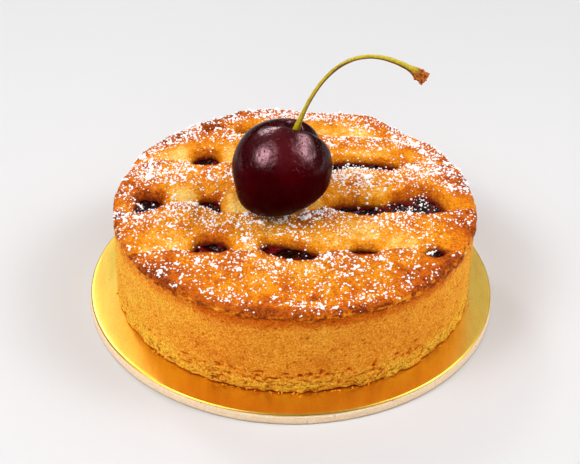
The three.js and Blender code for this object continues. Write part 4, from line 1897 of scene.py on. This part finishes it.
@dataclass
class Cherry:
    """The fresh cherry on top, leaning to the right, with its stem cavity and its seam."""

    centre: Point3 = (-3.0, -3.7, 45.9)
    radius: float = 14.15
    height_ratio: float = 0.985
    tilt: float = 15.0
    cavity_depth: float = 3.2
    cavity_width: float = 3.6
    cavity_floor: float = 0.6
    cavity_back: float = 1.0
    brow: float = 0.75
    brow_width: float = 2.0
    brow_span: Point2 = (1.5, -2.0)
    seam_turn: float = 30.0
    seam_depth: float = 1.6
    seam_width: float = 2.3
    seam_start: Point2 = (-1.0, 3.5)
    seam_fade: Point2 = (18, 105)
    seam_end: Point2 = (120, 170)
    shoulder: float = 0.45
    shoulder_out: float = 4.0
    shoulder_width: float = 2.4
    bottom_drift: float = 3.4
    drift_span: Point2 = (3.5, 13.5)
    lumps: Curve = ((0.12, 9.0), (0.05, 3.5))
    reddest_way: Point3 = (0.08, -0.62, 0.78)
    rings: int = 160
    columns: int = 210
    noise: Noise = Noise(3)

    def build(self, material: Material) -> None:
        """Builds and dresses the cherry.

        Args:
            material: the cherry skin.
        """
        polar = np.linspace(0, math.pi, self.rings)[1:-1]
        down, turn = np.meshgrid(polar[::-1], full_turn(self.columns), indexing="ij")
        ends = np.array([[0, 0, -1.0], [0, 0, 1.0]])
        unit = np.concatenate([circle(turn, np.sin(down), np.cos(down)), ends])
        shaped, hollow_shade = self.shape(unit)
        lean = np.array(Matrix.Rotation(math.radians(self.tilt), 3, "Y"))
        points, facing = shaped @ lean.T, unit @ lean.T
        points[:, 0] -= self.bottom_drift * smoothstep(*self.drift_span, -points[:, 2])
        points = points + np.array(self.centre)
        # The skin is redder on the side that faces the front and up.
        aside = np.arccos(np.clip(facing @ np.array(self.reddest_way), -1, 1))
        redder_front = 0.25 + 0.5 * bell(aside, 0.55) + 0.2 * self.noise.layers(points, 7.0, 2)
        # The gloss mark: none on the underside, where the skin would mirror the pastry, as painted shade, and
        # much more on top to brighten the highlight there.
        shaded_gloss = smoothstep(0.0, 0.36, facing[:, 2] + 0.3 * facing[:, 1])
        shaded_gloss = shaded_gloss * (1 + 6 * smoothstep(0.5, 0.8, facing[:, 2]))
        marks = {"redder_front": redder_front, "hollow_shade": hollow_shade, "shaded_gloss": shaded_gloss}
        piece = make_piece("cherry_fruit", points, tube_faces(len(polar), self.columns), marks)
        settle(piece, material, "cherry_skin", "cherry")

    def shape(self, unit: Array) -> tuple[Array, Array]:
        """Shapes the fruit before it leans.

        Args:
            unit: directions from the middle of the cherry.

        Returns:
            The points of the skin, and how much painted shade each one gets in the stem cavity and the seam.
        """
        points = unit * (np.array([1.0, 1.0, self.height_ratio]) * self.radius)
        reach = np.hypot(points[:, 0], points[:, 1] - self.cavity_back)
        upper = smoothstep(0, 6, points[:, 2])
        cavity = self.cavity_depth * (1 - smoothstep(self.cavity_floor, self.cavity_width, reach)) * upper
        brow = self.brow * bell(reach - self.cavity_width - 0.4, self.brow_width) * upper
        brow = brow * smoothstep(*self.brow_span, points[:, 1])
        turn = math.radians(self.seam_turn)
        along = points[:, 0] * math.cos(turn) + points[:, 1] * math.sin(turn)
        aside = points[:, 1] * math.cos(turn) - points[:, 0] * math.sin(turn)
        down = np.degrees(np.arccos(np.clip(unit[:, 2], -1, 1)))
        strength = 1 - 0.85 * smoothstep(*self.seam_fade, down)
        run = smoothstep(*self.seam_start, along) * strength * (1 - smoothstep(*self.seam_end, down))
        seam = self.seam_depth * bell(aside, self.seam_width) * run
        shoulder = self.shoulder * bell(np.abs(aside) - self.shoulder_out, self.shoulder_width) * run
        wavy = self.noise.lumps(points, self.lumps)
        moved = points + unit * (shoulder - seam + wavy)[:, None]
        moved[:, 2] += brow - cavity
        # Painted shade: darker the deeper in the stem cavity, and a little in the seam.
        hollow_shade = np.clip(cavity / self.cavity_depth * 0.9 + 0.3 * seam, 0, 1)
        return moved, hollow_shade


@dataclass
class Stem:
    """The arching stem with its flared foot and ragged woody knob."""

    plane: float = -2.7
    foot: Point2 = (0.4, 56.2)
    foot_handle: Point2 = (5.29, 73.37)
    tip_handle: Point2 = (15.32, 92.2)
    tip: Point2 = (37.39, 73.22)
    foot_radius: float = 1.1
    middle_radius: float = 0.56
    neck_radius: float = 0.76
    knob: float = 0.9
    flare: float = 0.1
    neck_span: Point2 = (0.72, 0.9)
    knob_span: Point2 = (0.89, 0.955)
    wood_span: Point2 = (0.9, 0.95)
    across: Point3 = (0.0, 1.0, 0.0)
    sides: int = 28
    stations: int = 190
    lump_count: int = 46
    lump_dents: float = 0.28
    lump_sizes: Point2 = (0.3, 0.62)
    lumps_from: Point2 = (0.937, 0.976)
    end_at: float = 0.972
    noise: Noise = Noise(8)
    seed: int = 12

    def path(self, share: Array) -> tuple[Array, Array]:
        """Follows the stem's curve.

        Args:
            share: how far along, from the foot at 0 to the tip at 1.

        Returns:
            The points of the curve and its direction there.
        """
        bends = (self.foot, self.foot_handle, self.tip_handle, self.tip)
        knots = [np.array([x, self.plane, z]) for x, z in bends]
        t = share[:, None]
        weights = [(1 - t) ** 3, 3 * t * (1 - t) ** 2, 3 * t**2 * (1 - t), t**3]
        place = sum(w * k for w, k in zip(weights, knots))
        steps = [knots[k + 1] - knots[k] for k in range(3)]
        heading = 3 * ((1 - t) ** 2 * steps[0] + 2 * t * (1 - t) * steps[1] + t**2 * steps[2])
        return place, heading / np.linalg.norm(heading, axis=1, keepdims=True)

    def radius_at(self, share: Array) -> Array:
        """Works out the stem's radius, flared at the foot and towards the knob.

        Args:
            share: how far along the stem.

        Returns:
            The radius there.
        """
        foot = (self.foot_radius - self.middle_radius) * bell(share, self.flare)
        neck = (self.neck_radius - self.middle_radius) * smoothstep(*self.neck_span, share)
        knob = self.knob * smoothstep(*self.knob_span, share)
        return self.middle_radius + foot + neck + knob

    def build(self, material: Material) -> None:
        """Builds and dresses the stem.

        Args:
            material: the stem's finish.
        """
        share = np.linspace(0, self.end_at, self.stations)
        place, heading = self.path(share)
        along, turns = share[:, None], full_turn(self.sides)
        side, over = np.array(self.across), np.cross(heading, self.across)
        ridges = 1 + 0.07 * np.cos(3 * turns + 0.5) + 0.05 * np.cos(5 * turns)
        rough = 0.06 * self.noise.layers(place, 1.6, 2)[:, None]
        ragged = 0.16 * np.cos(turns * 4 + along * 90) * smoothstep(0.92, 0.96, along)
        reach = self.radius_at(along) * ridges * (1 + rough + ragged)
        ring = np.cos(turns)[None, :, None] * side + np.sin(turns)[None, :, None] * over[:, None, :]
        points = place[:, None, :] + ring * reach[:, :, None]
        # The underside is browned as painted shade.
        lower = 1 - smoothstep(-0.35, 0.35, np.sin(turns))
        blush = 0.6 * bell(along - 0.5, 0.07) + 0.15 * bell(along - 0.02, 0.05)
        tan_and_shade = lower * mix(0.6, 0.95, smoothstep(0.1, 0.4, along)) + blush * (0.6 + 0.4 * np.cos(turns * 2))
        wood = np.broadcast_to(smoothstep(*self.wood_span, along), tan_and_shade.shape)
        lumps, lump_faces = self.knob_lumps()
        everything = np.concatenate([points.reshape(-1, 3), place[[0, -1]], lumps])
        marks = {
            "tan_and_shade": np.concatenate([tan_and_shade.ravel(), [0, 0], np.zeros(len(lumps))]),
            "wood": np.concatenate([wood.ravel(), [0, 1], np.ones(len(lumps))]),
        }
        faces = [*tube_faces(self.stations, self.sides), lump_faces + len(everything) - len(lumps)]
        piece = make_piece("cherry_stalk", everything, faces, marks, sharp=65)
        settle(piece, material, "cherry_stem", "cherry_stem")

    def knob_lumps(self) -> tuple[Array, Array]:
        """Makes the woody bits round the tip.

        Returns:
            Their points and their faces.
        """
        chance = np.random.default_rng(self.seed)
        share = chance.uniform(*self.lumps_from, self.lump_count)
        place, heading = self.path(share)
        turn = chance.uniform(0, 2 * math.pi, self.lump_count)
        over = np.cross(heading, self.across)
        around = np.cos(turn)[:, None] * np.array(self.across) + np.sin(turn)[:, None] * over
        off = self.radius_at(share) * chance.uniform(0.3, 1.15, self.lump_count)
        sizes = chance.uniform(*self.lump_sizes, self.lump_count)
        return Blobs(ICOSAHEDRON, place + around * off[:, None], sizes, self.lump_dents, self.seed).mesh()


# Loose things


@dataclass(frozen=True)
class Solid:
    """The points and faces of a small many-sided solid of radius 1."""

    points: Array
    faces: Array


def icosahedron() -> Solid:
    """Makes a twenty-sided solid.

    Returns:
        The solid.
    """
    gold = (1 + math.sqrt(5)) / 2
    signs = list(product((-1, 1), (-gold, gold)))
    points = [(0, a, b) for a, b in signs] + [(a, b, 0) for a, b in signs] + [(b, 0, a) for a, b in signs]
    corners = np.array(points, float)
    gaps = np.linalg.norm(corners[:, None] - corners[None], axis=2)
    faces = []
    for a, b, c in product(range(12), repeat=3):
        if a < b < c and max(gaps[a, b], gaps[b, c], gaps[a, c]) < 2.1:
            outward = np.dot(np.cross(corners[b] - corners[a], corners[c] - corners[a]), corners[a])
            faces.append((a, b, c) if outward > 0 else (a, c, b))
    return Solid(corners / np.linalg.norm(corners[0]), np.array(faces))


def octahedron() -> Solid:
    """Makes an eight-sided solid.

    Returns:
        The solid.
    """
    corners = np.array([(1, 0, 0), (0, 1, 0), (-1, 0, 0), (0, -1, 0), (0, 0, 1), (0, 0, -1)], float)
    upper = [(k, (k + 1) % 4, 4) for k in range(4)]
    lower = [((k + 1) % 4, k, 5) for k in range(4)]
    return Solid(corners, np.array(upper + lower))


ICOSAHEDRON = icosahedron()
OCTAHEDRON = octahedron()


@dataclass
class Blobs:
    """Many small uneven lumps of one kind, joined into one mesh."""

    solid: Solid
    centres: Array
    sizes: Array
    uneven: float
    seed: int
    flatness: float = 1.0

    def mesh(self) -> tuple[Array, Array]:
        """Places a turned and dented copy of the solid at every centre.

        Returns:
            The points and the faces.
        """
        chance = np.random.default_rng(self.seed)
        count, corners = len(self.centres), len(self.solid.points)
        spun, _ = np.linalg.qr(chance.normal(size=(count, 3, 3)))
        spun = spun * np.sign(np.linalg.det(spun))[:, None, None]
        dents = 1 + self.uneven * chance.uniform(-1, 1, (count, corners, 1))
        shapes = np.einsum("nij,kj->nki", spun, self.solid.points) * dents
        shapes = shapes * self.sizes[:, None, None] * np.array([1, 1, self.flatness])
        points = self.centres[:, None, :] + shapes
        faces = self.solid.faces[None] + (np.arange(count) * corners)[:, None, None]
        return points.reshape(-1, 3), faces.reshape(-1, 3)


@dataclass
class SugarDusting:
    """Icing sugar over the top: small clumps, and fine grains between them."""

    relief: Relief
    clump_spacing: float = 0.8
    clump_cover: float = 0.42
    grain_spacing: float = 0.9
    grain_cover: float = 0.9
    dot: float = 0.255
    grain: Point2 = (0.11, 0.18)
    lump_share: float = 0.08
    lump_growth: float = 1.6
    most_joined: int = 6
    joined: float = 0.75
    joined_in_lump: float = 2.4
    dot_scatter: float = 0.2
    dot_range: Point2 = (0.75, 1.15)
    wander: float = 1.3
    dot_gap: Point2 = (1.0, 1.8)
    flatness: float = 0.75
    clump_dents: float = 0.25
    grain_dents: float = 0.35
    seed: int = 77

    def spots(self, chance: np.random.Generator, spacing: float, full: float) -> Array:
        """Picks at most one place in each square of a grid, more where the sugar lies thicker.

        Args:
            chance: the seeded source of chance.
            spacing: the width of a square.
            full: the cover at which every square is taken.

        Returns:
            The places, x and y.
        """
        reach = self.relief.lip_radius - 0.1
        steps = np.arange(-reach, reach, spacing)
        corners = np.stack(np.meshgrid(steps, steps), axis=-1).reshape(-1, 2)
        places = corners + chance.uniform(0, spacing, corners.shape) + np.array(self.relief.middle)
        radius, _ = self.relief.polar(places[:, 0], places[:, 1])
        cover = self.relief.dust(places[:, 0], places[:, 1])
        return places[(radius < reach) & (chance.random(len(places)) < cover / full)]

    def build(self, material: Material) -> None:
        """Builds and dresses the clumps and the grains.

        Args:
            material: the sugar's finish.
        """
        chance = np.random.default_rng(self.seed)
        spread, widths = [], []
        for place in self.spots(chance, self.clump_spacing, self.clump_cover):
            is_lump = chance.random() < self.lump_share
            joined = chance.exponential(self.joined_in_lump if is_lump else self.joined)
            size = self.dot * math.exp(chance.normal(0, self.dot_scatter))
            size = size * (self.lump_growth if is_lump else 1.0)
            heading = chance.uniform(0, 2 * math.pi)
            for _ in range(1 + int(min(self.most_joined, joined))):
                spread.append(place)
                widths.append(size * chance.uniform(*self.dot_range))
                heading += chance.normal(0, self.wander)
                way = np.array([math.cos(heading), math.sin(heading)])
                place = place + way * size * chance.uniform(*self.dot_gap)
        places, sizes = np.array(spread), np.array(widths)
        clumps = Blobs(ICOSAHEDRON, places, sizes, self.clump_dents, self.seed, self.flatness)
        self.scatter("icing_sugar_clumps", clumps, material)
        fine = self.spots(chance, self.grain_spacing, self.grain_cover)
        sizes = chance.uniform(*self.grain, len(fine))
        grains = Blobs(OCTAHEDRON, fine, sizes, self.grain_dents, self.seed, self.flatness)
        self.scatter("icing_sugar_grains", grains, material)

    def scatter(self, name: str, blobs: Blobs, material: Material) -> None:
        """Lets one kind of sugar fall onto the surface.

        Args:
            name: the piece's name.
            blobs: the lumps, with only an x and a y for each.
            material: the sugar's finish.
        """
        x, y = blobs.centres.T
        radius, angle = self.relief.polar(x, y)
        inside = radius + self.relief.rim_pull(angle) < self.relief.lip_radius - 0.05
        spots, sizes = blobs.centres[inside], blobs.sizes[inside]
        height = self.relief.surface(spots[:, 0], spots[:, 1])
        blobs.centres, blobs.sizes = np.column_stack([spots, height + 0.3 * sizes]), sizes
        points, faces = blobs.mesh()
        settle(make_piece(name, points, [faces]), material, "glazed_lattice")


@dataclass
class Crumbs:
    """Pastry crumbs that have dropped on the card round the pie."""

    middle: Point2
    shell_radius: float
    card_radius: float
    card_top: float
    count: int = 330
    loose_share: float = 0.07
    loose_reach: float = 1.6
    close_reach: float = 0.12
    smallest: float = 0.1
    size_range: float = 0.32
    loose_size: float = 0.6
    clear_edge: float = 0.8
    dents: float = 0.35
    brown: float = 0.3
    seed: int = 4

    def build(self, material: Material) -> None:
        """Builds and dresses the crumbs.

        Args:
            material: the dry pastry finish.
        """
        chance = np.random.default_rng(self.seed)
        turn = chance.uniform(0, 2 * math.pi, self.count)
        is_loose = chance.random(self.count) < self.loose_share
        reach = np.where(is_loose, self.loose_reach, self.close_reach)
        away = self.shell_radius - 0.1 + chance.exponential(1.0, self.count) * reach
        growth = np.where(is_loose, self.loose_size, 1.0)
        sizes = self.smallest + self.size_range * chance.random(self.count) ** 2.5 * growth
        centres = circle(turn, away, self.card_top + sizes * 0.55, self.middle)
        kept = np.hypot(*centres[:, :2].T) < self.card_radius - self.clear_edge
        points, faces = Blobs(ICOSAHEDRON, centres[kept], sizes[kept], self.dents, self.seed).mesh()
        marks = {"bake": np.full(len(points), self.brown)}
        settle(make_piece("pastry_crumbs", points, [faces], marks), material, "shortcrust")


# The studio


@dataclass(frozen=True)
class SoftBox:
    """One soft-edged light: round discs one inside another, each with its width and brightness."""

    name: str
    direction: Point3
    distance: float
    discs: Curve
    is_mirrored: bool = True

    def build(self, target: Point3) -> None:
        """Places the light's discs.

        Args:
            target: the point that it faces, in metres.
        """
        way = Vector(self.direction).normalized()
        for k, (width, radiance) in enumerate(self.discs):
            name = f"{self.name}_softbox_{k + 1}"
            lamp = bpy.data.lights.new(name, "AREA")
            lamp.shape = "DISK"
            lamp.size = width
            lamp.energy = radiance * math.pi * math.pi * width**2 / 4
            stand = bpy.data.objects.new(name, lamp)
            stand.location = Vector(target) + way * (self.distance - 0.01 * k)
            stand.rotation_euler = way.to_track_quat("Z", "Y").to_euler()
            stand.visible_glossy = self.is_mirrored
            bpy.context.scene.collection.objects.link(stand)
            log.info("light %s: %.1f W", name, lamp.energy)


@dataclass
class Studio:
    """The floor, the lights, the pale surroundings and the camera."""

    floor_size: float = 3.0
    target: Point3 = (0.0, 0.0, 0.045)
    boxes: tuple[SoftBox, ...] = (
        SoftBox("left", (-0.617, -0.27, 0.739), 0.9, ((0.84, 2.0), (0.54, 1.6), (0.29, 9.0))),
        SoftBox("right", (0.732, 0.0, 0.682), 0.9, ((0.8, 2.05), (0.52, 1.5), (0.27, 7.8))),
        SoftBox("top", (-0.39, 0.68, 0.62), 1.0, ((0.3, 2.6), (0.18, 19.0))),
        SoftBox("front_fill", (0.05, -0.84, 0.54), 1.0, ((0.8, 1.45),), False),
    )
    surround_front: float = 0.02
    surround_top: float = 0.2
    glow_left: float = 0.36
    glow_right: float = 0.66
    backdrop: float = 0.86
    air: Colour = (1.0, 0.985, 0.98, 1.0)
    camera_place: Point3 = (0.0, -0.359851, 0.276474)
    camera_right: Point3 = (0.99990344, 0.0089509, 0.01062977)
    camera_up: Point3 = (-0.01384911, 0.57879468, 0.8153557)
    camera_back: Point3 = (0.00114571, -0.81542418, 0.57886276)
    focal_pixels: float = 1503.13
    frame_pixels: float = 580.0
    sensor: float = 36.0

    def build(self, floor: Material) -> None:
        """Sets up everything round the pie.

        Args:
            floor: the floor's finish.
        """
        self.lay_floor(floor)
        for box in self.boxes:
            box.build(self.target)
        self.light_surroundings()
        self.place_camera()
        bpy.context.scene.view_settings.view_transform = "Standard"

    def lay_floor(self, material: Material) -> None:
        """Lays the plain floor under the card.

        Args:
            material: the floor's finish.
        """
        half = self.floor_size / 2 / METRES
        corners = np.array([[-half, -half, 0], [half, -half, 0], [half, half, 0], [-half, half, 0]])
        piece = make_piece("studio_floor", corners, [np.array([[0, 1, 2, 3]])])
        piece.data.materials.append(material)

    def light_surroundings(self) -> None:
        """Makes pale surroundings that are darker on the camera's side of the room."""
        world = bpy.data.worlds.new("studio")
        world.use_nodes = True
        bpy.context.scene.world = world
        sketch = Sketch(world.node_tree)
        background = world.node_tree.nodes["Background"]
        here = sketch.add("TexCoord").outputs["Generated"]
        parts = sketch.add("SeparateXYZ", {"Vector": here})
        high = sketch.ease(parts.outputs["Z"], 0.3, 1.0, self.surround_front, self.surround_top)
        aside = sketch.ease(parts.outputs["X"], -0.25, 0.35, self.glow_left, self.glow_right)
        rear = sketch.times(aside, sketch.ease(parts.outputs["Y"], 0.35, 0.7))
        low = sketch.times(rear, sketch.ease(parts.outputs["Z"], 0.2, 0.42))
        glow = sketch.times(low, sketch.ease(parts.outputs["Z"], 0.9, 0.7))
        seen = sketch.add("LightPath").outputs["Is Camera Ray"]
        shown = sketch.add("Mix", data_type="FLOAT")
        for place, value in ((0, seen), (2, sketch.plus(high, glow)), (3, self.backdrop)):
            sketch.feed(shown.inputs[place], value)
        sketch.fill(background, {"Color": self.air, "Strength": shown.outputs[0]})

    def place_camera(self) -> None:
        """Places the camera at the viewing angle."""
        data = bpy.data.cameras.new("camera")
        data.sensor_width = self.sensor
        data.lens = self.focal_pixels * self.sensor / self.frame_pixels
        data.clip_start, data.clip_end = 0.01, 20.0
        camera = bpy.data.objects.new("camera", data)
        turn = Matrix((self.camera_right, self.camera_up, self.camera_back)).transposed()
        camera.matrix_world = Matrix.Translation(self.camera_place) @ turn.to_4x4()
        bpy.context.scene.collection.objects.link(camera)
        bpy.context.scene.camera = camera


def millimetres(node: str) -> tuple[Vector, Vector]:
    """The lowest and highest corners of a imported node, in millimetres."""
    low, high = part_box(node)
    return low / METRES, high / METRES


def main() -> None:
    """Builds the pie from the card up, then the studio round it."""
    logging.basicConfig(level=logging.INFO, format="%(message)s")
    effects = Effects()
    glazed, dry = GLAZED.make(effects), DRY_SIDE.make(effects)

    _, card_high = millimetres("cake_card")
    CakeCard(radius=card_high.x, thickness=card_high.z).build(CutBoard().make(), GoldFoil().make())

    shell_low, shell_high = millimetres("crust_shell")
    middle = ((shell_low.x + shell_high.x) / 2, (shell_low.y + shell_high.y) / 2)
    top_radius = (shell_high.x - shell_low.x) / 2
    foot_radius = top_radius - WALL_TAPER
    relief = Relief(middle, lip_radius=top_radius)
    shell = CrustShell(relief, foot_radius, top_radius, foot=shell_low.z)
    shell.build_wall(dry)
    shell.build_rim(glazed)
    Filling(relief).build(CherryFilling().make())
    Lattice(relief, CrestGrid(relief)).build(glazed)

    Cherry().build(CherrySkin().make())
    Stem().build(StemSkin().make())
    SugarDusting(relief).build(IcingSugar().make())
    Crumbs(middle, foot_radius, card_radius=card_high.x, card_top=card_high.z).build(dry)

    Studio().build(StudioFloor().make())


if __name__ == "__main__":
    main()
